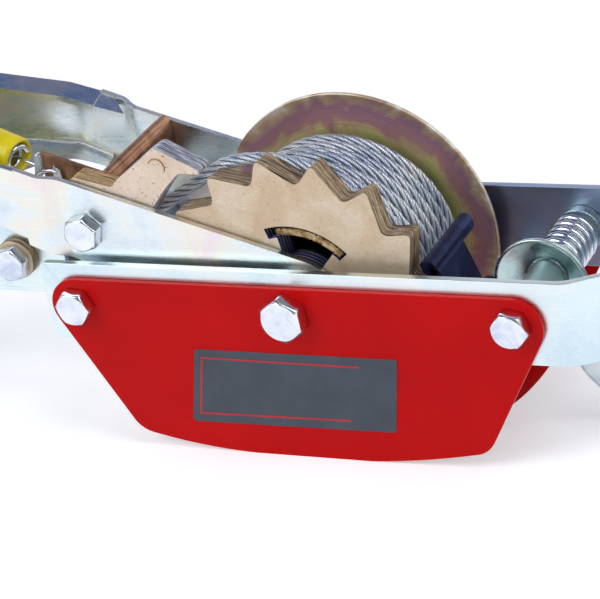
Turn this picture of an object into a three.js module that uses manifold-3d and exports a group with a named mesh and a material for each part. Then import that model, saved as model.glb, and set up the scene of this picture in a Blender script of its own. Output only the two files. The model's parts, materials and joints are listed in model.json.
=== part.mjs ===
// A hand-operated come along winch: two frame straps, a laminated ratchet wheel with a
// wound wire rope, a pressed handle with its drive pawl, a pulley block and two hooks.
// Millimetres, +Z up, X along the frame with the support hook at +X, the drum axle along Y.
// Everything is laid out round the axle, and the finished group is moved at the end so that
// the origin lies under the middle of its bounding box.
import * as THREE from 'three';
import { mergeVertices } from 'three/addons/utils/BufferGeometryUtils.js';
import Module from 'manifold-3d';

const wasm = await Module();
wasm.setup();

// ---------- driving dimensions ----------
const GAP = 0.3;                     // clearance left between pieces that touch
const FRAME_INNER = 36.7;            // axle centre plane to the inside of a strap
const STRAP = { thick: 3, top: 16, bottom: -17, left: -103.2, bend: 104, noseInner: 5.2, nose: 183 };
const YOKE_ANGLE = 33.6;             // how steeply the straps run together, degrees
const SIDE_PLATE = { thick: 2, top: 10.4, bottom: -61.2, flat: 24, end: 11.4 };
const CROSS_X = 88.6;                // both cross bolts, either side of the axle
const YOKE_PIN_X = 170;
const HOLD_PIVOT = [63.6, -10];      // holding pawl's pin, X and Z
const RELEASE_TAB = { y: -14.5, thick: 3, shoulder: [84, -21], corner: [88.6, -31.9], toe: [72.2, -48.9] };
const ARM = { outer: 33.8, thick: 2.4, eye: 19, flare: 37.5, eyeTop: 71.2, eyeBottom: 248.4 };
// an arm's upper edge has one corner, and its lower edge is straight
const ARM_EDGE = { cornerX: -90.3, cornerZ: 48.2, rise: 0.355, lowX: -108, lowZ: 22.6, fall: 0.396 };
const GRIP = { neck: -217, start: -232, end: -342, half: 13.4, low: 49.5, high: 80.9, slope: 0.2 };
const HANDLE_PIN = [-83, 27.7];      // drive pawl's pivot in the handle, X and Z
const WHEEL = { near: -30.6, plate: 1.6, plates: 5, tip: 56.8, root: 48, teeth: 16, phase: 7.6 };
const WINDOW = { middles: [74, 194, 314], half: 33, inner: 16.8, step: 16.5 };   // angles in degrees
const BARREL = { outer: 30, inner: 25.3 };
const FLANGE = { radius: 57.4, face: 27.2, thick: 1.6 };
const ROPE = { radius: 2.5, wound: 41.4, pitch: 5.5, turns: 7.7, core: 38 };
const LIFT_OFF = { angle: 72, radius: 47.2 };            // where the rope leaves the drum
const ROPE_END = { angle: 196.2, ring: 11, stem: 5.2, barrel: 24, bore: 2.85, inside: 14.2 };
const SLEEVE = { axle: 8, left: 6, right: 6.9, pawl: 6 };   // outer radii of the spacer sleeves
const CUP = { hole: 7.4, radius: 18.3, centre: -3.5, rim: -10.7, thick: 1.6 };
const BLOCK = { x: -134, z: 1, half: 16, inner: 4.9, thick: 2.5, hookX: -184, end: -113 };
const HOOK = { thick: 9, eye: 15, bowl: 56, inner: 13.2, loadLean: 54.5, supportLean: 65 };
const HOLD_SPRING = { wire: 1.7, radius: 6.6, pitch: 6.5, turns: 4.5, from: 190, y: 0.3 };
const RELEASE_SPRING = { wire: 0.95, radius: 4.6, pitch: 3.9, turns: 6, from: 0, y: -1.6 };
const SLIDER = { mouth: [-118.6, -14, 47.6], yaw: 0.22, rise: 0.25, outer: 8, bore: 6, length: 42 };
const M10 = { flats: 16, head: 6.4, nut: 8, shank: 5 };
const M8 = { flats: 13, head: 5.3, nut: 6.5, shank: 4 };
const HOLE = { m8: 4.3, m10: 5.3, axle: 8.4, holdPin: 3.3, pawlSleeve: 6.4, rivet: 1.9 };
const THROUGH = 60;                  // half length of a tool that cuts right through a piece

const rad = THREE.MathUtils.degToRad;
const polar = (radius, degrees, x = 0, z = 0) => [
  x + radius * Math.cos(rad(degrees)),
  z + radius * Math.sin(rad(degrees)),
];

// ---------- materials ----------
const steel = (colour, roughness = 0.35, metalness = 0.9) => ({ colour, roughness, metalness });
const ZINC = steel(0xd5e2e4, 0.3);
const YELLOW_ZINC = steel(0xd9bd8c, 0.4);
const BRONZE_ZINC = steel(0x9c7350, 0.4);
const DARK_STEEL = steel(0x2b2f55, 0.4);
const ROPE_STEEL = steel(0xaab4c0, 0.45);
const RED_PAINT = { colour: 0xd00000, roughness: 0.3, metalness: 0 };
const YELLOW_PLASTIC = { colour: 0xe8d800, roughness: 0.45, metalness: 0 };
const BLACK_RUBBER = { colour: 0x222426, roughness: 0.7, metalness: 0 };

// ---------- small tools ----------
const winch = new THREE.Group();

function add(name, geometry, { colour, roughness, metalness }) {
  const material = new THREE.MeshStandardMaterial({ color: colour, roughness, metalness });
  const mesh = new THREE.Mesh(geometry, material);
  mesh.name = name;
  winch.add(mesh);
  return mesh;
}

function solid(geometry) {
  const bare = geometry.clone();
  bare.deleteAttribute('normal');
  bare.deleteAttribute('uv');
  const merged = mergeVertices(bare, 1e-4);
  return new wasm.Manifold(new wasm.Mesh({
    numProp: 3,
    vertProperties: new Float32Array(merged.attributes.position.array),
    triVerts: new Uint32Array(merged.index.array),
  }));
}

function surface(manifold) {
  const mesh = manifold.getMesh();
  const geometry = new THREE.BufferGeometry();
  geometry.setAttribute('position', new THREE.BufferAttribute(mesh.vertProperties, 3));
  geometry.setIndex(new THREE.BufferAttribute(mesh.triVerts, 1));
  return geometry;
}

const join = (...geometries) => surface(wasm.Manifold.union(geometries.map(solid)));
const cut = (body, ...tools) => surface(
  solid(body).subtract(wasm.Manifold.union(tools.map(solid))));
const common = (a, b) => surface(solid(a).intersect(solid(b)));

// a flat shape drawn in X and Z, given thickness from y0 to y1
function plate(shape, y0, y1, options = {}) {
  const geometry = new THREE.ExtrudeGeometry(shape, {
    depth: y1 - y0, bevelEnabled: false, curveSegments: 7, ...options,
  });
  geometry.rotateX(Math.PI / 2);
  geometry.translate(0, y1, 0);
  return geometry;
}

// a flat shape drawn in X and Y, given height from z0 to z1
function slab(shape, z0, z1) {
  const geometry = new THREE.ExtrudeGeometry(shape, {
    depth: z1 - z0, bevelEnabled: false, curveSegments: 7,
  });
  geometry.translate(0, 0, z0);
  return geometry;
}

const outline = (points) => new THREE.Shape(points.map(([a, b]) => new THREE.Vector2(a, b)));

function circle(x, z, radius) {
  const path = new THREE.Path();
  path.absarc(x, z, radius, 0, 2 * Math.PI);
  return path;
}

// a ring or a bar about an axle parallel to Y at (x, z): pairs of radius and y
function turned(profile, x, z, segments = 16) {
  const points = profile.map(([radius, y]) => new THREE.Vector2(radius, y));
  const geometry = new THREE.LatheGeometry(points, segments);
  geometry.translate(x, 0, z);
  return geometry;
}

function ring(inner, outer, y0, y1, x, z, segments = 16) {
  const profile = [[inner, y0], [outer, y0], [outer, y1], [inner, y1], [inner, y0]];
  return turned(profile, x, z, segments);
}

function bar(radius, y0, y1, x, z, segments = 16) {
  return turned([[0, y0], [radius, y0], [radius, y1], [0, y1]], x, z, segments);
}

// a hexagon across the flats, its outer corners chamfered, about an axle parallel to Y
function hexagon(flats, y0, y1, x, z, chamferAt, turn = 0) {
  const prism = new THREE.CylinderGeometry(flats / Math.sqrt(3), flats / Math.sqrt(3), y1 - y0, 6);
  prism.rotateY(turn);
  prism.translate(x, (y0 + y1) / 2, z);
  const edge = flats / Math.sqrt(3);
  const start = chamferAt === 'low' ? [[0, y0], [flats * 0.46, y0], [edge + 0.1, y0 + 0.9]]
    : [[0, y0], [edge + 0.1, y0]];
  const end = chamferAt === 'low' ? [[edge + 0.1, y1], [0, y1]]
    : [[edge + 0.1, y1 - 0.9], [flats * 0.46, y1], [0, y1]];
  return common(prism, turned([...start, ...end], x, z, 12));
}

// a bolt whose head sits against y = seat and whose shank ends at y = end
function bolt(name, { flats, head, shank }, seat, end, x, z, turn = 0) {
  const top = hexagon(flats, seat - head, seat, x, z, 'low', turn);
  const stem = turned([[0, seat - 1], [shank, seat - 1], [shank, end - 1],
    [shank - 0.8, end], [0, end]], x, z, 12);
  add(name, join(top, stem), ZINC);
}

function nut(name, { flats, nut: height, shank }, seat, x, z) {
  const body = hexagon(flats, seat, seat + height, x, z, 'high', 0.3);
  add(name, cut(body, bar(shank + GAP, seat - 1, seat + height + 1, x, z, 12)), ZINC);
}

// a closed tube through points, for wound rope and springs
function tube(points, radius, sides) {
  const centre = points.map((p) => new THREE.Vector3(...p));
  const last = centre.length - 1;
  const along = centre.map((p, i) => centre[Math.min(i + 1, last)].clone()
    .sub(centre[Math.max(i - 1, 0)]).normalize());
  const side = new THREE.Vector3(0, 1, 0).cross(along[0]).normalize();
  const vertices = [];
  for (let i = 0; i <= last; i += 1) {
    side.addScaledVector(along[i], -side.dot(along[i])).normalize();
    const up = along[i].clone().cross(side);
    for (let k = 0; k < sides; k += 1) {
      const turn = (2 * Math.PI * k) / sides;
      const p = centre[i].clone().addScaledVector(side, radius * Math.cos(turn))
        .addScaledVector(up, radius * Math.sin(turn));
      vertices.push(p.x, p.y, p.z);
    }
  }
  const faces = [];
  for (let i = 0; i < last; i += 1) {
    for (let k = 0; k < sides; k += 1) {
      const a = i * sides + k;
      const b = i * sides + ((k + 1) % sides);
      faces.push(a, b, b + sides, a, b + sides, a + sides);
    }
  }
  for (let k = 1; k < sides - 1; k += 1) {
    faces.push(0, k + 1, k);
    faces.push(last * sides, last * sides + k, last * sides + k + 1);
  }
  const geometry = new THREE.BufferGeometry();
  geometry.setAttribute('position', new THREE.Float32BufferAttribute(vertices, 3));
  geometry.setIndex(faces);
  return geometry;
}

// the least distance between stretches of a wound tube that lie a turn or more apart
function leastGap(points, radius, perTurn) {
  let least = Infinity;
  for (let i = 0; i < points.length; i += 1) {
    for (let j = i + Math.round(perTurn * 0.6); j < points.length; j += 1) {
      least = Math.min(least, Math.hypot(...points[i].map((v, k) => v - points[j][k])));
    }
  }
  return least - 2 * radius;
}

// ---------- frame ----------
// the thin shape swept by a line drawn in X and Y, thickened to its left by `thick`
function bentStrip(line, thick) {
  const offset = line.map((p, i) => {
    const before = line[Math.max(i - 1, 0)];
    const after = line[Math.min(i + 1, line.length - 1)];
    const length = Math.hypot(after[0] - before[0], after[1] - before[1]);
    return [p[0] - (thick * (after[1] - before[1])) / length,
      p[1] + (thick * (after[0] - before[0])) / length];
  });
  return outline([...line, ...offset.reverse()]);
}

// the inner line of the far strap, from its free end round both yoke bends to the nose
function strapLine() {
  const line = [[STRAP.left, FRAME_INNER], [0, FRAME_INNER]];
  const bends = { first: 12, second: 16 };
  for (let step = 0; step <= 6; step += 1) {
    const a = (YOKE_ANGLE * step) / 6;
    line.push([STRAP.bend + bends.first * Math.sin(rad(a)),
      FRAME_INNER - bends.first * (1 - Math.cos(rad(a)))]);
  }
  const drop = bends.second * (1 - Math.cos(rad(YOKE_ANGLE)));
  const [x, y] = line[line.length - 1];
  const run = (y - STRAP.noseInner - drop) / Math.tan(rad(YOKE_ANGLE));
  const centreX = x + run + bends.second * Math.sin(rad(YOKE_ANGLE));
  for (let step = 6; step >= 0; step -= 1) {
    const a = (YOKE_ANGLE * step) / 6;
    line.push([centreX - bends.second * Math.sin(rad(a)),
      STRAP.noseInner + bends.second * (1 - Math.cos(rad(a)))]);
  }
  line.push([STRAP.nose + 1, STRAP.noseInner]);
  return line;
}

function strapSide() {
  const { top, bottom, left, nose } = STRAP;
  const noseHalf = nose - YOKE_PIN_X;
  const shape = new THREE.Shape();
  shape.moveTo(left, top - 2);
  shape.absarc(left + 5, bottom + 5, 5, Math.PI, 1.5 * Math.PI);
  shape.lineTo(118, bottom);
  shape.lineTo(152, -noseHalf);
  shape.absarc(YOKE_PIN_X, 0, noseHalf, -Math.PI / 2, Math.PI / 2);
  shape.lineTo(152, noseHalf);
  shape.lineTo(118, top);
  shape.lineTo(left + 2, top);
  shape.absarc(left + 2, top - 2, 2, Math.PI / 2, Math.PI);
  shape.holes.push(circle(-CROSS_X, 0, HOLE.m8), circle(0, 0, HOLE.m10),
    circle(CROSS_X, 0, HOLE.m8), circle(YOKE_PIN_X, 0, HOLE.m10),
    circle(...HOLD_PIVOT, HOLE.holdPin));
  return shape;
}

function frameStrap(side) {
  const band = slab(bentStrip(strapLine(), STRAP.thick), -30, 30);
  const profile = plate(strapSide(), 0, 60);
  const strap = common(band, profile);
  if (side < 0) return mirrored(strap);
  return strap;
}

function mirrored(geometry) {
  const copy = surface(solid(geometry));
  copy.scale(1, -1, 1);
  const index = copy.index.array;
  for (let i = 0; i < index.length; i += 3) {
    [index[i], index[i + 1]] = [index[i + 1], index[i]];
  }
  return copy;
}

function sidePlateShape() {
  const { top, bottom, flat, end } = SIDE_PLATE;
  const centreZ = top - end;
  const shape = new THREE.Shape();
  shape.moveTo(-CROSS_X, top);
  shape.absarc(-CROSS_X, centreZ, end, Math.PI / 2, rad(210));
  shape.lineTo(-75.5, -49);
  shape.quadraticCurveTo(-73, -54.6, -66, -55.7);
  shape.quadraticCurveTo(-46, -60.4, -flat, bottom);
  shape.lineTo(flat, bottom);
  shape.quadraticCurveTo(46, -59.6, 68, -54.8);
  shape.quadraticCurveTo(72.5, -53.4, 74.6, -49.2);
  shape.absarc(CROSS_X, centreZ, end, rad(-30), Math.PI / 2);
  shape.lineTo(-CROSS_X, top);
  shape.holes.push(circle(-CROSS_X, 0, HOLE.m8), circle(0, 0, HOLE.m10),
    circle(CROSS_X, 0, HOLE.m8));
  return shape;
}

const strapOuter = FRAME_INNER + STRAP.thick;
const plateOuter = strapOuter + GAP + SIDE_PLATE.thick;

function buildFrame() {
  for (const [side, label] of [[-1, 'near'], [1, 'far']]) {
    add(`${label}_frame_strap`, frameStrap(side), ZINC);
    const skin = plate(sidePlateShape(), strapOuter + GAP, plateOuter);
    add(`${label}_side_plate`, side < 0 ? mirrored(skin) : skin, RED_PAINT);
  }
  const sleeve = FRAME_INNER - GAP;
  const seat = plateOuter + GAP;
  bolt('axle_bolt', M10, -seat, seat + 10, 0, 0, -0.036);
  nut('axle_nut', M10, seat, 0, 0);
  add('axle_sleeve', ring(HOLE.m10, SLEEVE.axle, -sleeve, sleeve, 0, 0), ZINC);
  for (const [x, label, turn] of [[-CROSS_X, 'left', -0.418], [CROSS_X, 'right', -0.344]]) {
    bolt(`${label}_cross_bolt`, M8, -seat, seat + 9, x, 0, turn);
    nut(`${label}_cross_nut`, M8, seat, x, 0);
    const end = x < 0 ? sleeve : CUP.centre;
    add(`${label}_spacer_sleeve`, ring(HOLE.m8, SLEEVE[label], -sleeve, end, x, 0), ZINC);
  }
}

// ---------- drum ----------
// one side of a ratchet tooth is steep and faces the way the load pulls
function wheelOutline() {
  const { tip, root, teeth, phase } = WHEEL;
  const pitch = 360 / teeth;
  const points = [];
  for (let tooth = 0; tooth < teeth; tooth += 1) {
    const at = phase + tooth * pitch;
    points.push(polar(tip - 0.4, at - 1), polar(tip - 0.5, at + 0.4));
    points.push(polar(root + 0.9, at + 4.8), polar(root, at + 7));
  }
  return outline(points);
}

// a window between two angles, with the small step at its left end where a tab is peened
function wheelWindow(middle) {
  const { half, inner, step } = WINDOW;
  const outer = BARREL.outer + 0.4;
  const points = [];
  for (let a = -half; a <= half; a += step) points.push(polar(outer, middle + a));
  points.push(polar(outer - 3.4, middle + half), polar(outer - 4.4, middle + half - 5));
  for (let a = half - 8; a >= -half; a -= 19.3) points.push(polar(inner, middle + a));
  return outline(points);
}

function buildWheel() {
  const shape = wheelOutline();
  shape.holes.push(circle(0, 0, HOLE.axle), ...WINDOW.middles.map(wheelWindow));
  for (let i = 0; i < WHEEL.plates; i += 1) {
    const y = WHEEL.near + i * (WHEEL.plate + GAP);
    add(`ratchet_plate_${i + 1}`, plate(shape, y, y + WHEEL.plate), YELLOW_ZINC);
  }
}

const wheelBack = WHEEL.near + WHEEL.plates * WHEEL.plate + (WHEEL.plates - 1) * GAP;

// a tube with three tabs that pass through the wheel's windows and stand just proud of it
function buildBarrel() {
  const shell = ring(BARREL.inner, BARREL.outer, wheelBack + GAP, FLANGE.face - GAP, 0, 0, 32);
  const tabs = WINDOW.middles.map((middle) => {
    const points = [];
    for (let a = -29; a <= 26; a += 13.75) points.push(polar(BARREL.outer - 0.1, middle + a));
    for (let a = 26; a >= -29; a -= 13.75) points.push(polar(BARREL.inner + 0.1, middle + a));
    return plate(outline(points), WHEEL.near - 0.4, wheelBack + 1);
  });
  add('drum_barrel', join(shell, ...tabs), YELLOW_ZINC);
}

// a thin dished disc: flat against the barrel, then leaning away, with a curled rim
function buildFlange() {
  const { radius, face, thick } = FLANGE;
  const front = [[HOLE.axle, face], [40, face], [49, face + 1.7], [55, face + 1.7], [radius, face + 1]];
  const back = [[radius, face + 2.4], [55.6, face + 3.2], [49, face + 1.7 + thick],
    [40, face + thick], [HOLE.axle, face + thick]];
  add('drum_flange', turned([...front, ...back, front[0]], 0, 0, 36), YELLOW_ZINC);
}

const ropeFirstY = FLANGE.face - GAP - ROPE.radius - 0.2;

// outer layer of the rope: turns side by side, the last rising to meet the free run
function woundRoute() {
  const steps = Math.round(ROPE.turns * 24);
  const route = [];
  for (let i = 0; i <= steps; i += 1) {
    const left = (steps - i) * 15;
    const rise = Math.max(0, 1 - left / 60);
    const radius = ROPE.wound + (LIFT_OFF.radius - GAP - ROPE.wound) * rise * rise;
    const [x, z] = polar(radius, LIFT_OFF.angle - 1 - left);
    route.push([x, ropeFirstY - (ROPE.pitch * i) / 24, z]);
  }
  return route;
}

function buildWoundRope() {
  const route = woundRoute();
  console.log('wound rope, least gap to itself', leastGap(route, ROPE.radius, 24).toFixed(2), 'mm');
  add('rope_outer_layer', tube(route, ROPE.radius, 6), ROPE_STEEL);
  const core = ring(BARREL.outer + GAP, ROPE.core, wheelBack + GAP, FLANGE.face - GAP, 0, 0, 32);
  add('rope_inner_layers', core, ROPE_STEEL);
}

// ---------- rope run, block and its anchor ----------
const lastWoundY = ropeFirstY - ROPE.pitch * ROPE.turns;

// the loosened last turn, the straight run under the handle pin, round the sheave and back
function ropeRun() {
  const points = [];
  for (let a = LIFT_OFF.angle; a < 121; a += 8) {
    const part = (a - LIFT_OFF.angle) / 50;
    const [x, z] = polar(LIFT_OFF.radius + 9.4 * part, a);
    points.push([x, lastWoundY - 0.2 + 0.8 * part, z]);
  }
  points.push([-38.5, -16.8, 42.2], [-52, -14.6, 33.6], [-66, -12.2, 24.8], [-80, -9.6, 17.2]);
  points.push([-94, -5.6, 13.2], [-104, -3.4, 12.9], [-113, -2, 13.2], [-123, -0.8, 14.4]);
  for (let a = 90; a <= 286; a += 28) {
    const [x, z] = polar(13.6, a, BLOCK.x, BLOCK.z);
    points.push([x, 0, z]);
  }
  for (const along of [34, ROPE_END.barrel, ROPE_END.inside]) {
    const [x, z] = polar(along, ROPE_END.angle, -CROSS_X, 0);
    points.push([x, 0, z]);
  }
  return points;
}

function section(radius, sides) {
  const points = [];
  for (let k = 0; k < sides; k += 1) points.push(polar(radius, (360 * k) / sides));
  return outline(points);
}

function buildRopeRun() {
  const path = new THREE.CatmullRomCurve3(
    ropeRun().map((p) => new THREE.Vector3(...p)), false, 'centripetal');
  console.log('rope run length', path.getLength().toFixed(0), 'mm');
  add('rope_run', new THREE.ExtrudeGeometry(section(ROPE.radius, 8), {
    steps: 40, extrudePath: path, bevelEnabled: false }), ROPE_STEEL);
  add('rope_anchor_terminal', ropeAnchor(), ZINC);
}

// an eye on the left cross bolt with a bored stem that the rope's end is pressed into
function ropeAnchor() {
  const eye = ring(SLEEVE.left + GAP, ROPE_END.ring, -4, 4, -CROSS_X, 0);
  const stemLength = ROPE_END.barrel - ROPE_END.ring + 2;
  const stem = new THREE.CylinderGeometry(ROPE_END.stem, ROPE_END.stem, stemLength, 16);
  stem.rotateZ(Math.PI / 2);
  stem.translate(-ROPE_END.barrel + stemLength / 2, 0, 0);
  const depth = 20;
  const bore = new THREE.CylinderGeometry(ROPE_END.bore, ROPE_END.bore, depth, 12);
  bore.rotateZ(Math.PI / 2);
  bore.translate(-ROPE_END.inside + 2 * GAP - depth / 2, 0, 0);
  for (const piece of [stem, bore]) {
    piece.rotateY(-rad(ROPE_END.angle - 180));
    piece.translate(-CROSS_X, 0, 0);
  }
  return cut(join(eye, stem), bore);
}

function cheekShape() {
  const { x, z, half, hookX, end } = BLOCK;
  const shape = new THREE.Shape();
  shape.moveTo(end - 6, z + half);
  shape.lineTo(x - 10, z + half);
  shape.lineTo(hookX, 13);
  shape.absarc(hookX, 0, 13, Math.PI / 2, 1.5 * Math.PI);
  shape.lineTo(x - 10, z - half);
  shape.lineTo(end - 6, z - half);
  shape.absarc(end - 6, z - half + 6, 6, -Math.PI / 2, 0);
  shape.absarc(end - 6, z + half - 6, 6, 0, Math.PI / 2);
  shape.holes.push(circle(x, z, HOLE.m8), circle(hookX, 0, HOLE.m8));
  return shape;
}

function buildBlock() {
  const { x, z, inner, thick, hookX } = BLOCK;
  const outer = inner + thick;
  add('near_block_cheek', plate(cheekShape(), -outer, -inner), ZINC);
  add('far_block_cheek', plate(cheekShape(), inner, outer), ZINC);
  const groove = [[HOLE.m8 + 2.6, -4.5], [15.5, -4.5], [15.5, -3.6], [12, -3], [10.6, -1.2],
    [10.6, 1.2], [12, 3], [15.5, 3.6], [15.5, 4.5], [HOLE.m8 + 2.6, 4.5]];
  add('sheave', turned([...groove, groove[0]], x, z, 24), YELLOW_ZINC);
  add('sheave_bush', ring(HOLE.m8, HOLE.m8 + 2.3, -4.6, 4.6, x, z), YELLOW_ZINC);
  add('sheave_collar', turned([[HOLE.m8, -outer - 3.8], [7.6, -outer - 3.8],
    [8.4, -outer - 3], [8.4, -outer - GAP], [HOLE.m8, -outer - GAP], [HOLE.m8, -outer - 3.8]],
  x, z), YELLOW_ZINC);
  bolt('sheave_bolt', M8, -outer - 3.8 - GAP, outer + 9, x, z, 0.3);
  nut('sheave_nut', M8, outer + GAP, x, z);
  bolt('load_hook_bolt', M8, -outer - GAP, outer + 9, hookX, 0, 0.1);
  nut('load_hook_nut', M8, outer + GAP, hookX, 0);
}

// ---------- hooks ----------
// hangs from an eye at the origin, bowl below, mouth towards +X; pairs of X and Z
function hookOutline() {
  const centre = [3, -HOOK.bowl];
  const points = [];
  for (let a = 0; a <= 180; a += 15) points.push(polar(HOOK.eye, a));
  points.push([-12.5, -9], [-9.4, -18], [-9.2, -28], [-14, -36]);
  for (let a = 150; a <= 360; a += 15) {
    const heavy = 12.4 + 1.6 * Math.sin(rad((a - 150) * 0.9));
    const thin = Math.max(0, (a - 315) / 45);
    points.push(polar(HOOK.inner + heavy - 5 * thin, a, ...centre));
  }
  points.push(polar(HOOK.inner + 7.5, 8, ...centre), polar(HOOK.inner + 5.4, 20, ...centre));
  points.push(polar(HOOK.inner + 2.2, 22, ...centre), polar(HOOK.inner, 12, ...centre));
  for (let a = 0; a >= -240; a -= 20) points.push(polar(HOOK.inner, a, ...centre));
  points.push([4.8, -41.6], [8.6, -36], [8.6, -20], [12.5, -9]);
  return points;
}

// swung about its eye by `lean` degrees towards -X and moved to its pin
function hung(geometry, x, lean) {
  geometry.rotateY(rad(lean));
  geometry.translate(x, 0, 0);
  return geometry;
}

function buildHook(label, x, lean, pinRadius) {
  const shape = outline(hookOutline());
  shape.holes.push(circle(0, 0, pinRadius + GAP));
  const body = plate(shape, -HOOK.thick / 2 + 1.4, HOOK.thick / 2 - 1.4, {
    bevelEnabled: true, bevelThickness: 1.4, bevelSize: 1.1, bevelOffset: -1.1,
    bevelSegments: 1, curveSegments: 7,
  });
  const rivetAt = [0, -30];
  const pinned = cut(body, bar(HOLE.rivet, -9, 9, ...rivetAt, 12));
  add(`${label}_hook`, hung(pinned, x, lean), ZINC);
  add(`${label}_latch_rivet`, hung(turned([[0, -7.2], [2.8, -7.2], [2.8, -6.1], [1.6, -6.1],
    [1.6, 6.1], [2.8, 6.1], [2.8, 7.2], [0, 7.2]], ...rivetAt, 10), x, lean), ZINC);
  add(`${label}_latch`, hung(latch(rivetAt), x, lean), ZINC);
}

// a folded sheet tongue that straddles the shank and shuts the mouth against the tip
function latch([x, z]) {
  const side = outline([[-4.5, -29], [-3, -25.4], [4, -25], [10.6, -28.5], [17.2, -45],
    [14.6, -47.4], [6, -38.6], [-3, -34]]);
  side.holes.push(circle(x, z, HOLE.rivet));
  const hollow = outline([[-9, -21], [9.4, -21], [9.4, -28.9], [15.4, -45.2], [13.8, -48.6],
    [-9, -48.6]]);
  return cut(plate(side, -5.8, 5.8), plate(hollow, -4.8, 4.8));
}

// ---------- pawls ----------
function buildHoldingPawl() {
  const [x, z] = HOLD_PIVOT;
  const lip = outline([[50.8, 17.3], [52.6, 13.5], [56.4, 12.6], [59.6, 10.4], [62.6, 12],
    [60.2, 17.9], [57, 18.3]]);
  const lipBody = plate(lip, WHEEL.near, 9.8);
  const web = outline([[57.4, 16], [61.2, 16.4], [66, z], [61.6, z]]);
  const webBody = plate(web, WHEEL.near, -6);
  const boss = ring(HOLE.holdPin, 6, WHEEL.near, 2, x, z);
  const hollow = bar(HOLE.holdPin, -THROUGH, THROUGH, x, z);
  const skew = new THREE.BoxGeometry(14, 20, 16);
  skew.rotateZ(rad(32));
  skew.translate(66.5, 14.2, 14);
  add('holding_pawl', cut(join(lipBody, webBody, boss), hollow, skew), DARK_STEEL);
  add('holding_pawl_pin', bar(HOLE.holdPin - GAP, -strapOuter + 0.2, strapOuter - 0.2, x, z), ZINC);
  const tab = new THREE.Shape();
  tab.moveTo(...polar(6.3, 15, x, z));
  tab.lineTo(...RELEASE_TAB.shoulder);
  tab.quadraticCurveTo(90.8, -26, ...RELEASE_TAB.corner);
  tab.quadraticCurveTo(81.2, -41.8, ...RELEASE_TAB.toe);
  tab.quadraticCurveTo(66.6, -52.6, 62.6, -47);
  tab.lineTo(...polar(6.3, 250, x, z));
  tab.absarc(x, z, 6.3, rad(250), rad(375));
  add('pawl_release_tab', plate(tab, RELEASE_TAB.y, RELEASE_TAB.y + RELEASE_TAB.thick), RED_PAINT);
}

function springRoute({ radius, pitch, turns, from, y }, x, z) {
  const route = [];
  for (let i = 0; i <= turns * 8; i += 1) {
    const [px, pz] = polar(radius, from + i * 45, x, z);
    route.push([px, y + (pitch * i) / 8, pz]);
  }
  return route;
}

function buildHoldingSpring() {
  const { wire, y: startY } = HOLD_SPRING;
  const turns = springRoute(HOLD_SPRING, CROSS_X, 0);
  const route = [[71.9, startY - 2, -9], [76.4, startY - 1.4, -5.6], ...turns];
  console.log('holding spring, least gap', leastGap(turns, wire, 8).toFixed(2), 'mm');
  add('holding_pawl_spring', tube(route, wire, 5), ZINC);
  const { hole, radius, centre, rim, thick } = CUP;
  const cup = [[hole, centre - 0.6], [radius - 1.2, rim], [radius, rim + 0.4],
    [radius, rim + 2], [hole, centre + thick]];
  add('spring_cup', turned([...cup, cup[0]], CROSS_X, 0, 32), ZINC);
  add('spring_collar', turned([[HOLE.m8, 31.6], [8, 31.6], [9, 32.8], [9, 36.3], [HOLE.m8, 36.3],
    [HOLE.m8, 31.6]], CROSS_X, 0), ZINC);
}

// plates pressed together: full outlines with shallow grooves between them
function laminated(points, y0, y1, count, [cx, cz]) {
  const pitch = (y1 - y0 + GAP) / count;
  const inner = points.map(([x, z]) => [cx + (x - cx) * 0.965, cz + (z - cz) * 0.965]);
  const leaves = [plate(outline(inner), y0 + 0.5, y1 - 0.5)];
  for (let i = 0; i < count; i += 1) {
    leaves.push(plate(outline(points), y0 + i * pitch, y0 + (i + 1) * pitch - GAP));
  }
  return join(...leaves);
}

function buildDrivePawl() {
  const [x, z] = HANDLE_PIN;
  const points = [[-31, 50.6], [-31.6, 52.6], [-47.4, 60.9], [-49.6, 60.4], [-67.6, 47.2],
    [-69.4, 44.4], [-85.6, 48.4], [-88, 46.4]];
  for (let a = 160; a <= 290; a += 26) points.push(polar(10.5, a, x, z));
  for (let a = 156; a >= 128; a -= 5.6) points.push(polar(64.6, a));
  const body = laminated(points, WHEEL.near, wheelBack, 5, [-60, 45]);
  add('drive_pawl', cut(body, bar(HOLE.pawlSleeve, -THROUGH, 0, x, z)), YELLOW_ZINC);
}

// a bent sheet bracket on the same sleeve: one wall beside the pawl, one across the handle
function buildPawlCarrier() {
  const [x, z] = HANDLE_PIN;
  const y = wheelBack + GAP;
  const thick = 1.8;
  const farFace = ARM.outer - ARM.thick - GAP;
  const wall = outline([[-104, 53.6], [-78.6, 45.6], [-74.6, 41.2], [-74.6, 30],
    [-76, 22.4], [-83, 19.6], [-90.4, 24], [-104, 43.6]]);
  const side = plate(wall, y, y + thick);
  const cross = plate(outline([[-80.4, 43.4], [-78.8, 45.4], [-76.2, 45.2], [-75.2, 42],
    [-75.2, 30], [-77.2, 30], [-77.2, 41], [-78.6, 42.6]]), y, farFace);
  const farEar = plate(outline([[-76, 43], [-75.2, 30], [-76, 22.4], [-83, 19.6], [-90.4, 24],
    [-88, 36]]), farFace - thick, farFace);
  const body = join(side, cross, farEar);
  add('pawl_carrier', cut(body, bar(HOLE.pawlSleeve, -THROUGH, THROUGH, x, z)), BRONZE_ZINC);
}

// ---------- handle ----------
const armTop = (x) => ARM_EDGE.cornerZ + (ARM_EDGE.cornerX - x) * ARM_EDGE.rise;
const armBottom = (x) => ARM_EDGE.lowZ - (x - ARM_EDGE.lowX) * ARM_EDGE.fall;

// a stretch of the arm behind its corner, seen from the side
function armStretch(x0, x1) {
  const shape = outline([[x0, armBottom(x0)], [x1, armBottom(x1)], [x1, armTop(x1)], [x0, armTop(x0)]]);
  return plate(shape, 20, 50);
}

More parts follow.
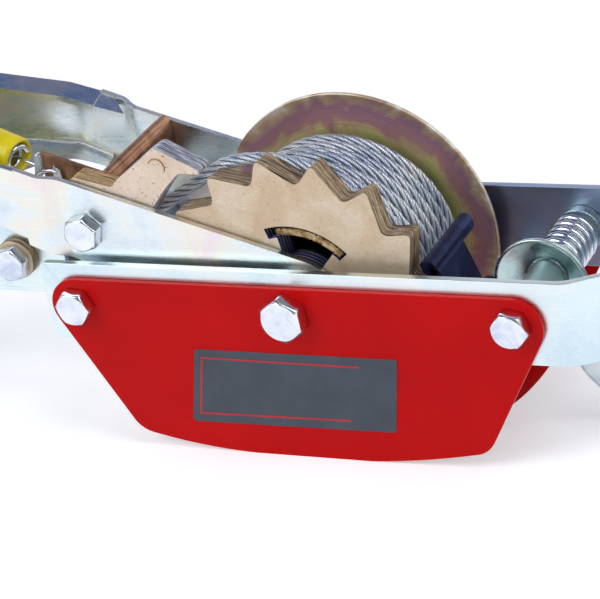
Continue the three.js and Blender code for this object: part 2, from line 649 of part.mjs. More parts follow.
// one arm: flat beside the drum, then joggled outwards where it clears the frame
function arm() {
  const { outer, thick, eye, flare } = ARM;
  const flat = new THREE.Shape();
  flat.moveTo(...polar(eye, ARM.eyeTop));
  flat.lineTo(ARM_EDGE.cornerX, ARM_EDGE.cornerZ);
  flat.lineTo(-91, armTop(-91));
  flat.lineTo(-91, armBottom(-91));
  flat.lineTo(...polar(eye, ARM.eyeBottom));
  flat.absarc(0, 0, eye, rad(ARM.eyeBottom), rad(ARM.eyeTop + 360));
  const plain = plate(flat, outer - thick, outer);
  const joggle = slab(outline([[-90.6, outer - thick], [-90.6, outer], [-98.6, flare],
    [-99.4, flare], [-99.4, flare - thick]]), 0, 80);
  const outside = slab(outline([[-99, flare - thick], [-99, flare], [-112, flare],
    [-112, flare - thick]]), 0, 80);
  return join(plain, common(joggle, armStretch(-100, -90.6)), common(outside, armStretch(-112, -99)));
}

// the pressed channel: stations along X with half width, bottom and top
const channelStations = [
  { x: -107, half: 37.5, low: 22.4, high: 53.6, lip: 9.6 },
  { x: -121, half: 37.5, low: 28, high: 57.4, lip: 9.6 },
  { x: -150, half: 30.2, low: 33.5, high: 64.5, lip: 9.4 },
  { x: -190, half: 20.2, low: 42, high: 74.3, lip: 7 },
  { x: GRIP.neck, half: GRIP.half, low: GRIP.low, high: GRIP.high, lip: 4.6 },
  { x: GRIP.end + 8, half: GRIP.half, low: GRIP.low + GRIP.slope * (GRIP.neck - GRIP.end - 8),
    high: GRIP.high + GRIP.slope * (GRIP.neck - GRIP.end - 8), lip: 4.6 },
];

// half of one station's outline, outer skin first, as pairs of Y and Z
function channelSection({ half, low, high, lip }) {
  const t = ARM.thick;
  const bend = 6;
  const outerSkin = [[0, low], [half - bend, low], [half - bend * 0.45, low + bend * 0.16],
    [half - bend * 0.12, low + bend * 0.5], [half, low + bend * 1.1], [half, high - 1],
    [half - 1, high], [half - lip, high]];
  const innerSkin = [[half - lip, high - t], [half - t - 0.6, high - t], [half - t, high - t - 0.6],
    [half - t, low + bend * 1.1], [half - t - bend * 0.1, low + t + bend * 0.35],
    [half - t - bend * 0.3, low + t + 0.5], [half - bend - t * 0.4, low + t], [0, low + t]];
  return [outerSkin, innerSkin];
}

function channelBody() {
  const rings = channelStations.map((station) => {
    const [outerSkin, innerSkin] = channelSection(station);
    const flip = (list) => list.map(([y, z]) => [-y, z]);
    const farHalf = [...outerSkin, ...innerSkin];
    const nearHalf = flip(farHalf).reverse();
    const loop = [...farHalf.slice(0, -1), ...nearHalf.slice(0, -1)];
    return loop.map(([y, z]) => [station.x, y, z]);
  });
  const count = rings[0].length;
  const faces = [];
  for (let i = 0; i < rings.length - 1; i += 1) {
    for (let k = 0; k < count; k += 1) {
      const a = i * count + k;
      const b = i * count + ((k + 1) % count);
      faces.push(b, a, b + count, b + count, a, a + count);
    }
  }
  const cap = THREE.ShapeUtils.triangulateShape(
    rings[0].map(([, y, z]) => new THREE.Vector2(y, z)), []);
  const last = (rings.length - 1) * count;
  for (const [a, b, c] of cap) {
    faces.push(a, b, c, last + b, last + a, last + c);
  }
  const geometry = new THREE.BufferGeometry();
  geometry.setAttribute('position', new THREE.Float32BufferAttribute(rings.flat(2), 3));
  geometry.setIndex(faces);
  return geometry;
}

function buildHandle() {
  const [x, z] = HANDLE_PIN;
  const farArm = arm();
  const body = join(farArm, mirrored(farArm), channelBody());
  // the top lips start past a slanted notch, and the web starts behind the drum
  const notch = plate(outline([[-90, 62], [-90, 47], [-98, 47], [-101, 51.6], [-103, 62]]),
    -ARM.flare + ARM.thick + 0.05, ARM.flare - ARM.thick - 0.05);
  const wall = -ARM.flare + ARM.thick;
  const nearLip = slab(outline([[-99, wall], [-99, 0], [-168, 0], [-168, wall + 11.8],
    [-121, wall]]), 46, 80);
  const round = bar(HOLE.axle, -THROUGH, THROUGH, 0, 0, 24);
  const pin = bar(HOLE.m8, -THROUGH, THROUGH, x, z);
  add('handle', cut(body, notch, nearLip, round, pin), ZINC);
  const sleeve = ARM.outer - ARM.thick - GAP;
  bolt('pawl_pivot_bolt', M8, -ARM.outer - GAP, ARM.outer + 9, x, z, 0.25);
  nut('pawl_pivot_nut', M8, ARM.outer + GAP, x, z);
  add('pawl_pivot_sleeve', ring(HOLE.m8 + 0.1, SLEEVE.pawl, -sleeve, sleeve, x, z), ZINC);
  for (const [label, y0] of [['near', -FRAME_INNER + GAP], ['far', ARM.outer + GAP]]) {
    const width = FRAME_INNER - ARM.outer - 2 * GAP;
    add(`${label}_axle_washer`, ring(HOLE.axle, 13, y0, y0 + width, 0, 0), ZINC);
  }
  buildGrip();
}

// a ribbed rubber sleeve pushed over the end of the channel
function buildGrip() {
  const { start, end, slope } = GRIP;
  const length = (start - end) * Math.hypot(1, slope);
  const [w, h, r] = [GRIP.half + 3.6, 19.4, 9];         // half width, half height, corner
  const rings = { count: 6, first: 20, pitch: 14, wide: 2.4, deep: 1.2 };
  const round = new THREE.Shape();
  round.moveTo(-w + r, -h);
  round.absarc(w - r, -h + r, r, -Math.PI / 2, 0);
  round.absarc(w - r, h - r, r, 0, Math.PI / 2);
  round.absarc(-w + r, h - r, r, Math.PI / 2, Math.PI);
  round.absarc(-w + r, -h + r, r, Math.PI, 1.5 * Math.PI);
  const body = new THREE.ExtrudeGeometry(round, {
    depth: length - 3, bevelEnabled: true, bevelSize: 2, bevelThickness: 1.5,
    bevelOffset: -2, bevelSegments: 1, curveSegments: 3 });
  body.translate(0, 0, 1.5);
  const bore = new THREE.BoxGeometry(2 * GRIP.half + 0.8, 31.6, length - 3);
  bore.translate(0, 0, (length - 3) / 2 - 0.5);
  const grooves = [];
  for (let i = 0; i < rings.count; i += 1) {
    const outside = new THREE.BoxGeometry(THROUGH, THROUGH, rings.wide);
    const inside = new THREE.BoxGeometry(2 * (w - rings.deep), 2 * (h - rings.deep), 2 * rings.wide);
    const groove = cut(outside, inside);
    groove.translate(0, 0, rings.first + i * rings.pitch);
    grooves.push(groove);
  }
  const grip = cut(body, bore, ...grooves);
  grip.applyMatrix4(new THREE.Matrix4().makeBasis(
    new THREE.Vector3(0, -1, 0), new THREE.Vector3(slope, 0, 1).normalize(),
    new THREE.Vector3(-1, 0, slope).normalize()));
  grip.translate(start, 0, (GRIP.low + GRIP.high) / 2 + slope * (GRIP.neck - start));
  add('handle_grip', grip, BLACK_RUBBER);
}

// ---------- release slider in the handle ----------
// from lying along Y, with its mouth at 0, to lying along the handle
function alongHandle(geometry) {
  const axis = new THREE.Vector3(-1, SLIDER.yaw, SLIDER.rise).normalize();
  geometry.applyQuaternion(new THREE.Quaternion().setFromUnitVectors(
    new THREE.Vector3(0, 1, 0), axis));
  geometry.translate(...SLIDER.mouth);
  return geometry;
}

function buildSlider() {
  const { outer, bore, length } = SLIDER;
  const sleeve = [[bore, 0.8], [bore + 1, 0], [outer, 0.9], [outer, length], [bore, length], [bore, 0.8]];
  const points = sleeve.map(([radius, y]) => new THREE.Vector2(radius, y));
  add('release_slider', alongHandle(new THREE.LatheGeometry(points, 20)), YELLOW_PLASTIC);
  const route = springRoute(RELEASE_SPRING, 0, 0);
  const { wire } = RELEASE_SPRING;
  console.log('release spring, least gap', leastGap(route, wire, 8).toFixed(2), 'mm');
  add('release_spring', alongHandle(tube(route, wire, 5)), ZINC);
}

buildFrame();
buildWheel();
buildBarrel();
buildFlange();
buildWoundRope();
buildRopeRun();
buildBlock();
buildHook('load', BLOCK.hookX, HOOK.loadLean, M8.shank);
buildHook('support', YOKE_PIN_X, HOOK.supportLean, M10.shank);
buildHoldingPawl();
buildHoldingSpring();
buildDrivePawl();
buildPawlCarrier();
buildHandle();
buildSlider();
bolt('support_hook_bolt', M10, -STRAP.noseInner - STRAP.thick - GAP,
  STRAP.noseInner + STRAP.thick + 11, YOKE_PIN_X, 0, 0.2);
nut('support_hook_nut', M10, STRAP.noseInner + STRAP.thick + GAP, YOKE_PIN_X, 0);

// ---------- origin under the middle of the bounding box ----------
const box = new THREE.Box3().setFromObject(winch);
winch.position.set(-(box.min.x + box.max.x) / 2, -(box.min.y + box.max.y) / 2, -box.min.z);
console.log('axle stands at', winch.position.toArray().map((v) => v.toFixed(3)).join(', '));

export default winch;
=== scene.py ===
import json
import math

import bmesh
import bpy
import numpy as np
from mathutils import Matrix, Vector


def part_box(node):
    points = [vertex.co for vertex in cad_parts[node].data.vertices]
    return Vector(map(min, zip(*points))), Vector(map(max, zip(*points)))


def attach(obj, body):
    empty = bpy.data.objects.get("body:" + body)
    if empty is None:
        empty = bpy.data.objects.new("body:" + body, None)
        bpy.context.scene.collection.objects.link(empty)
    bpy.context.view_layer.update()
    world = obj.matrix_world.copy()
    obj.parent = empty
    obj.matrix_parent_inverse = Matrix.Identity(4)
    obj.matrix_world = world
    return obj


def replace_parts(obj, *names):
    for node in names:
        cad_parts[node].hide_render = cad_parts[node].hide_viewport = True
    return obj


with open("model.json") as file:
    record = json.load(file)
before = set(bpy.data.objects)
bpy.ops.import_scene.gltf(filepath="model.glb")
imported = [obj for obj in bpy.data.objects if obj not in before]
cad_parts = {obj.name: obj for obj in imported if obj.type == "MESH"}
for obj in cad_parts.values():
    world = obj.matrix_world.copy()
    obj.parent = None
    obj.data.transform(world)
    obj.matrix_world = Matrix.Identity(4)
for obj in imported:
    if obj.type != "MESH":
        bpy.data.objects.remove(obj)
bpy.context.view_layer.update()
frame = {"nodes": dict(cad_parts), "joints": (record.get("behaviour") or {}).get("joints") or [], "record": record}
# every size below is in millimetres from the drum's axle
axle = np.array(next(joint["pos_m"] for joint in frame["joints"] if joint["name"] == "drum_spin"))
mm = 0.001


# ---- camera: the photograph's viewing angle, worked out on the frame and the bolts ----
cameraView = {
    "place": (432.0, -817.2, 442.2),    # from the axle
    "right": (0.8767, 0.4811, 0.0),
    "up": (-0.2126, 0.3874, 0.8971),
    "roll": 0.18986,
    "lens": 161.94,                     # for a sensor 36 mm wide
}


def makeCamera():
    view = cameraView
    right, up = np.array(view["right"]), np.array(view["up"])
    c, s = math.cos(view["roll"]), math.sin(view["roll"])
    sideways, upwards = c * right - s * up, s * right + c * up
    data = bpy.data.cameras.new("camera")
    data.lens, data.sensor_width = view["lens"], 36
    data.clip_start, data.clip_end = 0.05, 60
    camera = bpy.data.objects.new("camera", data)
    bpy.context.scene.collection.objects.link(camera)
    turn = np.column_stack([sideways, upwards, np.cross(sideways, upwards)])
    camera.matrix_world = Matrix.Translation(axle + np.array(view["place"]) * mm) @ Matrix(turn).to_4x4()
    bpy.context.scene.camera = camera


makeCamera()
print("camera placed")


# ---- small tools ----
def linear(code):
    # sRGB hex to the linear numbers that the shaders work in
    parts = [int(code[i:i + 2], 16) / 255 for i in (1, 3, 5)]
    return [p / 12.92 if p <= 0.04045 else ((p + 0.055) / 1.055) ** 2.4 for p in parts] + [1.0]


def join(tree, node, links):
    # a link comes from a socket, or from a node's first output that its settings leave open
    for key, source in links.items():
        if not isinstance(source, bpy.types.NodeSocket):
            source = next(socket for socket in source.outputs if socket.enabled)
        tree.links.new(source, node.inputs[key])


def addNode(tree, kind, settings=None, links=None):
    # settings are a ramp's stops, the node's own, or its inputs' values
    node = tree.nodes.new("ShaderNode" + kind)
    for key, value in (settings or {}).items():
        if key == "stops":
            elements = node.color_ramp.elements
            for i, (at, colour) in enumerate(value):
                element = elements[i] if i < 2 else elements.new(at)
                element.position = at
                element.color = linear(colour) if isinstance(colour, str) else [colour] * 3 + [1]
        elif isinstance(key, str) and hasattr(node, key):
            setattr(node, key, value)
        else:
            node.inputs[key].default_value = value
    join(tree, node, links or {})
    return node


def span(start, end, low=0.0, high=1.0):
    # the settings that carry one range of values to another
    return {"From Min": start, "From Max": end, "To Min": low, "To Max": high}


# settings that mix two colours or multiply one by the other, and the inputs that these use
mixed = {"data_type": "RGBA"}
mixShare, mixFirst, mixSecond = 0, 6, 7
multiplied = {"data_type": "RGBA", "blend_type": "MULTIPLY", mixShare: 1.0}


def meshPiece(name, points, faces, body, slot, material, bevel=0, uv=None, smooth=40):
    # points are millimetres from the axle, faces are lists of corner numbers
    mesh = bpy.data.meshes.new(name)
    mesh.from_pydata((np.asarray(points) * mm + axle).tolist(), [], faces)
    mesh.update()
    if uv is not None:
        layer = mesh.uv_layers.new(name="lay")
        corner = np.zeros(len(mesh.loops), np.int32)
        start = np.zeros(len(mesh.polygons), np.int32)
        mesh.loops.foreach_get("vertex_index", corner)
        mesh.polygons.foreach_get("loop_start", start)
        place = np.asarray(uv, np.float32)[corner]
        # a face that closes a ring runs on past 1 there, and doesn't go back to 0
        highest = np.repeat(np.maximum.reduceat(place[:, 0], start), np.diff(np.append(start, len(corner))))
        place[:, 0] += highest - place[:, 0] > 0.5
        layer.data.foreach_set("uv", place.ravel())
    piece = bpy.data.objects.new(name, mesh)
    bpy.context.scene.collection.objects.link(piece)
    mesh.materials.append(material)
    finishEdges(piece, bevel, smooth)
    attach(piece, body)
    return piece


def outwards(piece):
    # every closed shell of the piece is turned to face out
    shape = bmesh.new()
    shape.from_mesh(piece.data)
    bmesh.ops.remove_doubles(shape, verts=shape.verts, dist=0.000001)
    bmesh.ops.recalc_face_normals(shape, faces=shape.faces)
    shape.to_mesh(piece.data)
    shape.free()


def finishEdges(piece, bevel, smooth):
    # a small round on each edge, so that it catches the light
    piece.data.polygons.foreach_set("use_smooth", [True] * len(piece.data.polygons))
    if bevel:
        rounding = piece.modifiers.new("edges", "BEVEL")
        rounding.width, rounding.segments = bevel * mm, 2
        rounding.limit_method, rounding.angle_limit = "ANGLE", math.radians(smooth)
        rounding.use_clamp_overlap = True
        rounding.miter_outer = "MITER_ARC"
    if smooth:
        normals = piece.modifiers.new("shading", "WEIGHTED_NORMAL")
        normals.keep_sharp = True


def gridFaces(rows, columns, closeRows=False, closeColumns=True):
    # four corners for each cell of a grid of points, numbered row by row
    r = np.arange(rows if closeRows else rows - 1)[:, None]
    c = np.arange(columns if closeColumns else columns - 1)[None, :]
    nextRow, nextColumn = (r + 1) % rows, (c + 1) % columns
    corners = [r * columns + c, r * columns + nextColumn, nextRow * columns + nextColumn,
               nextRow * columns + c]
    return np.stack(np.broadcast_arrays(*corners), axis=-1).reshape(-1, 4).tolist()


def endCaps(rows, columns):
    # one face over the first row of such a grid, and one over its last
    last = (rows - 1) * columns
    return [list(range(columns)), list(range(last, last + columns))[::-1]]


def closedGrid(rows, columns):
    return [face[::-1] for face in gridFaces(rows, columns)] + endCaps(rows, columns)


def distances(line):
    # how far along the line each of its points lies
    return np.concatenate([[0], np.cumsum(np.linalg.norm(np.diff(line, axis=0), axis=1))])


def unit(vectors):
    return vectors / np.linalg.norm(vectors, axis=-1, keepdims=True)


def rounded(corners, radius, steps=4):
    # each corner of a drawn outline becomes a short curve that meets both its sides
    p = np.array(corners, float)
    back, ahead = np.roll(p, 1, 0) - p, np.roll(p, -1, 0) - p
    reach = np.minimum(np.linalg.norm(back, axis=1), np.linalg.norm(ahead, axis=1)) * 0.45
    reach = np.minimum(reach, radius)[:, None]
    first, last = p + unit(back) * reach, p + unit(ahead) * reach
    t = np.linspace(0, 1, steps)[None, :, None]
    curve = (1 - t) ** 2 * first[:, None] + 2 * t * (1 - t) * p[:, None] + t ** 2 * last[:, None]
    return curve.reshape(-1, 2)


def plate(outline, y0, y1, hole=None, holeSides=32):
    # a flat shape drawn in X and Z with thickness along Y. A hole is (x, z, radius): each face is
    # then cut in two by a line through it, from its nearest corner to the nearest one opposite
    flat = np.asarray(outline, float)
    if (flat[:, 0] * np.roll(flat[:, 1], -1) - np.roll(flat[:, 0], -1) * flat[:, 1]).sum() < 0:
        flat = flat[::-1]
    n = len(flat)
    ring = list(range(n))
    if hole is None:
        caps, edges = [ring], [(i, (i + 1) % n) for i in ring]
        corners = flat
    else:
        middle, around = np.array(hole[:2]), np.linspace(0, 2 * np.pi, holeSides, endpoint=False)
        away = flat - middle
        reach = np.linalg.norm(away, axis=1)
        first = int(np.argmin(reach))
        opposite = away @ away[first] < -0.5 * reach * reach[first]
        second = int(np.argmin(np.where(opposite, reach, np.inf)))
        circle = middle + hole[2] * np.stack([np.cos(around), np.sin(around)], -1)
        bite = [int(np.argmin(np.linalg.norm(circle - flat[i], axis=1))) for i in (first, second)]
        outer = ring[first:] + ring[:first]
        cut = outer.index(second)
        # the hole's corners between the two cuts, taken against the outline's way round
        sides = [[n + (start - k) % holeSides for k in range((start - end) % holeSides + 1)]
                 for end, start in (bite, bite[::-1])]
        caps = [outer[:cut + 1] + sides[0], outer[cut:] + [first] + sides[1]]
        edges = [(i, (i + 1) % n) for i in ring]
        edges += [(n + (k + 1) % holeSides, n + k) for k in range(holeSides)]
        corners = np.vstack([flat, circle])
    total = len(corners)
    points = np.vstack([np.insert(corners, 1, y, axis=1) for y in (y0, y1)])
    faces = caps + [[i + total for i in cap[::-1]] for cap in caps]
    faces += [[b, a, a + total, b + total] for a, b in edges]
    return points, faces


def together(parts):
    # several closed shells in one piece
    points, faces, count = [], [], 0
    for shell, sides in parts:
        points.append(np.asarray(shell))
        faces += [[i + count for i in side] for side in sides]
        count += len(shell)
    return np.vstack(points), faces


def pierced(flat, keep, y0, y1):
    # rows of (x, z) round a centre, as a sheet from y0 to y1: cells that aren't kept are windows
    rows, columns = flat.shape[:2]
    half = rows * columns
    points = np.vstack([np.insert(flat.reshape(-1, 2), 1, y, axis=1) for y in (y0, y1)])
    index = np.arange(half).reshape(rows, columns)
    turned = np.roll(index, -1, 1)
    a, b, c, d = index[:-1], turned[:-1], turned[1:], index[1:]
    faces = [np.stack([a, d, c, b], -1)[keep], np.stack([a, b, c, d], -1)[keep] + half]
    inside = np.pad(keep, ((1, 1), (0, 0)))
    around = [(a, d, np.roll(keep, 1, 1)), (d, c, inside[2:]),
              (c, b, np.roll(keep, -1, 1)), (b, a, inside[:-2])]
    for p, q, beyond in around:
        edge = keep & ~beyond
        faces.append(np.stack([q, p, p + half, q + half], -1)[edge])
    faces = np.vstack(faces)
    used, faces = np.unique(faces, return_inverse=True)
    return points[used], faces.reshape(-1, 4).tolist()


def revolve(profile, x, z, segments=72):
    # each pair of radius and y is carried round an axis along Y at (x, z)
    pairs = np.array(profile, float)
    turn = np.linspace(0, 2 * np.pi, segments, endpoint=False)[:, None]
    radius, y = pairs.T
    points = np.stack([x + radius * np.cos(turn), y + 0 * turn, z + radius * np.sin(turn)], -1)
    return points.reshape(-1, 3), gridFaces(segments, len(pairs), True, True)


def smoothLine(points, step, perSpan=24):
    # a centripetal curve through the points, then even steps along it
    p = np.array(points, float)
    p = np.vstack([2 * p[0] - p[1], p, 2 * p[-1] - p[-2]])
    knots = np.concatenate([[0], np.cumsum(np.sqrt(np.linalg.norm(np.diff(p, axis=0), axis=1)))])
    pieces = []
    for i in range(1, len(p) - 2):
        t = np.linspace(knots[i], knots[i + 1], perSpan, endpoint=False)[:, None]
        a = [(knots[i + j] - t) / (knots[i + j] - knots[i + j - 1]) * p[i + j - 1]
             + (t - knots[i + j - 1]) / (knots[i + j] - knots[i + j - 1]) * p[i + j] for j in (0, 1, 2)]
        b = [(knots[i + 1 + j] - t) / (knots[i + 1 + j] - knots[i + j - 1]) * a[j]
             + (t - knots[i + j - 1]) / (knots[i + 1 + j] - knots[i + j - 1]) * a[j + 1] for j in (0, 1)]
        pieces.append((knots[i + 1] - t) / (knots[i + 1] - knots[i]) * b[0]
                      + (t - knots[i]) / (knots[i + 1] - knots[i]) * b[1])
    line = np.vstack(pieces + [p[-2:-1]])
    along = distances(line)
    even = np.linspace(0, along[-1], int(along[-1] / step) + 1)
    return np.stack([np.interp(even, along, line[:, k]) for k in range(3)], -1)


def tubeAlong(line, radius, sides, reference):
    # circles square to the line, kept from turning by a reference direction
    along = unit(np.gradient(line, axis=0))
    side = unit(reference - (reference * along).sum(-1, keepdims=True) * along)
    up = np.cross(along, side)
    turn = np.linspace(0, 2 * np.pi, sides, endpoint=False)[None, :, None]
    return line[:, None] + radius * (side[:, None] * np.cos(turn) + up[:, None] * np.sin(turn))


def closedTube(line, radius, sides):
    # a round bar along the line, with flat ends. No line here runs along the reference
    tube = tubeAlong(line, radius, sides, np.array([0, 1.0, 0.02]))
    return tube.reshape(-1, 3), closedGrid(len(line), sides)


def millimetres(node):
    # the node's box, from the axle
    low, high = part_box(node)
    return (np.array(low) - axle) / mm, (np.array(high) - axle) / mm


def centre(low, high):
    # the x and z of a node's axis
    return (low[0] + high[0]) / 2, (low[2] + high[2]) / 2


# ---- materials ----
def newMaterial(name, values):
    material = bpy.data.materials.new(name)
    material.use_nodes = True
    tree = material.node_tree
    shader = tree.nodes["Principled BSDF"]
    for key, value in values.items():
        shader.inputs[key].default_value = value
    return material, tree, shader


def inMillimetres(tree, scale=(1, 1, 1)):
    # the piece's own coordinates, in millimetres from the axle, stretched along the grain
    place = addNode(tree, "TexCoord")
    return addNode(tree, "Mapping", {
        "Location": [-a / mm * s for a, s in zip(axle, scale)],
        "Scale": [s / mm for s in scale],
    }, {"Vector": place.outputs["Object"]})


def shearedEdge(tree, still, face, finish):
    # an edge, which faces along the sheet, has its own tints in lines across its thickness
    facing = addNode(tree, "TexCoord")
    side = addNode(tree, "SeparateXYZ", {}, {"Vector": facing.outputs["Normal"]})
    flat = addNode(tree, "Math", {"operation": "ABSOLUTE"}, {0: side.outputs["Y"]})
    share = addNode(tree, "MapRange", span(0.75, 0.97, 1, 0), {"Value": flat})
    across = inMillimetres(tree, (0.09, 2.2, 0.09))
    scored = addNode(tree, "TexNoise", {"Scale": 1.0, "Detail": 3}, {"Vector": across})
    edge = addNode(tree, "ValToRGB", {"stops": finish["edge"]}, {"Fac": scored})
    where = addNode(tree, "SeparateXYZ", {}, {"Vector": still})
    if "tail" in finish:
        # behind the pawl's tooth the edges take gold, olive and brown tints
        behind = addNode(tree, "MapRange", span(-62, -66), {"Value": where.outputs["X"]})
        tail = addNode(tree, "ValToRGB", {"stops": finish["tail"]}, {"Fac": scored})
        edge = addNode(tree, "Mix", mixed, {mixShare: behind, mixFirst: edge, mixSecond: tail})
    if "window" in finish:
        # edges nearer the axle than 32 mm are those of the windows, painted navy: painted shade inside the windows
        flat = addNode(tree, "CombineXYZ", {}, {"X": where.outputs["X"], "Y": where.outputs["Z"]})
        reach = addNode(tree, "VectorMath", {"operation": "LENGTH"}, {0: flat})
        within = addNode(tree, "MapRange", span(33, 32), {"Value": reach})
        edge = addNode(tree, "Mix", {**mixed, mixSecond: linear(finish["window"])},
                       {mixShare: within, mixFirst: edge})
    return addNode(tree, "Mix", mixed, {mixShare: share, mixFirst: face, mixSecond: edge})


def platedSteel(name, finish):
    # Zinc plated sheet: clouds of the passivation's tint over a rolled or brushed grain,
    # with small pits and a few dull patches where it has been handled.
    material, tree, shader = newMaterial(name, {"Metallic": finish.get("metallic", 1.0)})
    still = inMillimetres(tree)
    grain = inMillimetres(tree, finish["grain"])
    clouds = addNode(tree, "TexNoise", {"Scale": 1 / finish["cloud"], "Detail": 3, "Roughness": 0.55,
                                        "Distortion": 0.6}, {"Vector": still})
    tint = addNode(tree, "ValToRGB", {"stops": finish["tints"]}, {"Fac": clouds})
    lines = addNode(tree, "TexNoise", {"Scale": 1.0, "Detail": 5, "Roughness": 0.7}, {"Vector": grain})
    pits = addNode(tree, "TexNoise", {"Scale": 1 / finish["pit"], "Detail": 4, "Roughness": 0.6},
                   {"Vector": still})
    streak = addNode(tree, "ValToRGB", {"stops": [(0.3, finish["dark"]), (0.62, 1.0)]}, {"Fac": lines})
    if "edge" in finish:
        tint = shearedEdge(tree, still, tint, finish)
    if "specks" in finish:
        # dark spots, about a millimetre apart, where tumbling left the plating thin
        apart, share = finish["specks"]
        spot = addNode(tree, "TexNoise", {"Scale": 1 / apart, "Detail": 2, "Roughness": 0.5},
                       {"Vector": still})
        dots = addNode(tree, "ValToRGB", {"stops": [(0.31, "#6d5140"), (0.37, "#ffffff")]}, {"Fac": spot})
        tint = addNode(tree, "Mix", {**multiplied, mixShare: share}, {mixFirst: tint, mixSecond: dots})
    colour = addNode(tree, "Mix", multiplied, {mixFirst: tint, mixSecond: streak})
    gloss = addNode(tree, "MapRange", span(0.3, 0.7, *finish["roughness"]), {"Value": lines})
    patch = addNode(tree, "MapRange", span(0.4, 0.8, 0, 0.12), {"Value": clouds})
    total = addNode(tree, "Math", {"operation": "ADD"}, {0: gloss, 1: patch})
    relief = addNode(tree, "Bump", {"Strength": finish["relief"], "Distance": 0.00006}, {"Height": lines})
    pitted = addNode(tree, "Bump", {"Strength": finish["pitted"], "Distance": 0.0001},
                     {"Height": pits, "Normal": relief})
    join(tree, shader, {"Base Color": colour, "Roughness": total, "Normal": pitted})
    return material


# bright zinc over cold rolled strip: pale, faintly blue, brushed along its length
brightZinc = platedSteel("zincPlatedRolledStrip", {
    "tints": [(0.3, "#cbdfe8"), (0.5, "#dcecee"), (0.72, "#eaf1ee")], "cloud": 34, "grain": (0.02, 1.4, 1.4),
    "dark": 0.93, "roughness": (0.22, 0.32), "relief": 0.1, "pit": 1.1, "pitted": 0.025})
# the same plating on a pressed sheet: warmer, with faint pink and yellow clouds
pressedZinc = platedSteel("zincPlatedPressedSheet", {
    "tints": [(0.28, "#d2dfe6"), (0.45, "#e2eaea"), (0.58, "#ece8dc"), (0.72, "#ebdfe2")], "cloud": 22,
    "grain": (0.03, 0.7, 0.9), "dark": 0.95, "roughness": (0.22, 0.34), "relief": 0.12, "pit": 1.4,
    "pitted": 0.08})
# zinc on forged and rolled fasteners: smooth, cool and a little darker
boltZinc = platedSteel("zincPlatedBoltSteel", {
    "tints": [(0.3, "#c6d0e2"), (0.5, "#e2e8ee"), (0.7, "#f2f4f4")], "cloud": 11, "grain": (0.6, 0.6, 0.6),
    "dark": 0.94, "roughness": (0.1, 0.2), "relief": 0.06, "pit": 0.7, "pitted": 0.07})
# zinc over a drop forging: the same plating on a skin that the die and the scale left uneven
forgedZinc = platedSteel("zincPlatedDropForging", {
    "tints": [(0.3, "#aebccb"), (0.5, "#cbd8de"), (0.7, "#e2e8e6")], "cloud": 13, "grain": (0.4, 0.4, 0.4),
    "dark": 0.9, "roughness": (0.24, 0.36), "relief": 0.25, "pit": 2.2, "pitted": 0.35})
# a darker, bluer copy of the strip's zinc for the far strap: painted dark reflection
darkReflectionZinc = platedSteel("zincStripPaintedDarkReflection", {
    "tints": [(0.3, "#97a6cb"), (0.5, "#adbbd6"), (0.72, "#c6d4e0")], "cloud": 40, "grain": (0.02, 1.4, 1.4),
    "dark": 0.95, "roughness": (0.3, 0.38), "relief": 0.05, "pit": 1.1, "pitted": 0.05})
# yellow chromate on blanked plate, tumbled: a matt beige face and bronze sheared edges
beigePlate = platedSteel("yellowChromatedBlankedPlate", {
    "tints": [(0.25, "#d2b694"), (0.5, "#e1ccae"), (0.75, "#eddfca")], "cloud": 16, "grain": (0.5, 0.5, 0.5),
    "dark": 0.9, "roughness": (0.4, 0.55), "relief": 0.2, "pit": 0.6, "pitted": 0.45,
    # navy on the windows' edges: painted shade inside the wheel's windows
    "window": "#49558c", "specks": (0.7, 0.3),
    "edge": [(0.38, "#2f241c"), (0.46, "#7d5f42"), (0.54, "#e0c9a4"), (0.62, "#6f563c")], "metallic": 0.45})
# the pawl's gold chromate, with navy and white lines on its sheared edges, and gold, olive and brown ones behind
# its tooth
goldPlate = platedSteel("goldChromatedPawlPlate", {
    "tints": [(0.25, "#dcc3a8"), (0.5, "#ead6c0"), (0.75, "#f3e6d8")], "cloud": 14, "grain": (0.5, 0.5, 0.5),
    "dark": 0.9, "roughness": (0.3, 0.45), "relief": 0.2, "pit": 0.6, "pitted": 0.5, "specks": (1.1, 0.6),
    "edge": [(0.36, "#343a5c"), (0.47, "#98a4bc"), (0.56, "#f4f5f6"), (0.66, "#7d849c")],
    "tail": [(0.36, "#7a4a3a"), (0.46, "#cdb85a"), (0.56, "#d9a58c"), (0.66, "#8f8440")], "metallic": 0.5})
# the barrel's hammered tabs: the plating is thin there and the steel is bruised brown and gold
hammeredGold = platedSteel("goldChromatedHammeredTube", {
    "tints": [(0.3, "#6b5236"), (0.5, "#a88a5a"), (0.7, "#dcc79c")], "cloud": 4, "grain": (0.5, 0.5, 0.5),
    "dark": 0.8, "roughness": (0.35, 0.5), "relief": 0.3, "pit": 0.9, "pitted": 0.5, "metallic": 0.7})
# yellow chromate where it pooled: brown and gold
bronzeSheet = platedSteel("bronzeChromatedSheet", {
    "tints": [(0.25, "#8a5f4c"), (0.5, "#b98a6c"), (0.75, "#d8ac8c")], "cloud": 9, "grain": (0.3, 0.9, 0.9),
    "dark": 0.75, "roughness": (0.3, 0.45), "relief": 0.3, "pit": 0.9, "pitted": 0.25})
# hardened pawl steel with a blue temper
temperedSteel = platedSteel("blueTemperedSteel", {
    "tints": [(0.3, "#1c2140"), (0.5, "#2c3358"), (0.75, "#46507c")], "cloud": 11, "grain": (0.5, 0.5, 0.5),
    "dark": 0.75, "roughness": (0.3, 0.45), "relief": 0.3, "pit": 0.8, "pitted": 0.2})
# blue passivated zinc on a turned cup
tealZinc = platedSteel("bluePassivatedZinc", {
    "tints": [(0.3, "#a9c8ca"), (0.5, "#c8dedd"), (0.75, "#e2edeb")], "cloud": 10, "grain": (0.4, 0.4, 0.4),
    "dark": 0.88, "roughness": (0.2, 0.3), "relief": 0.15, "pit": 0.9, "pitted": 0.1})
print("metals made")


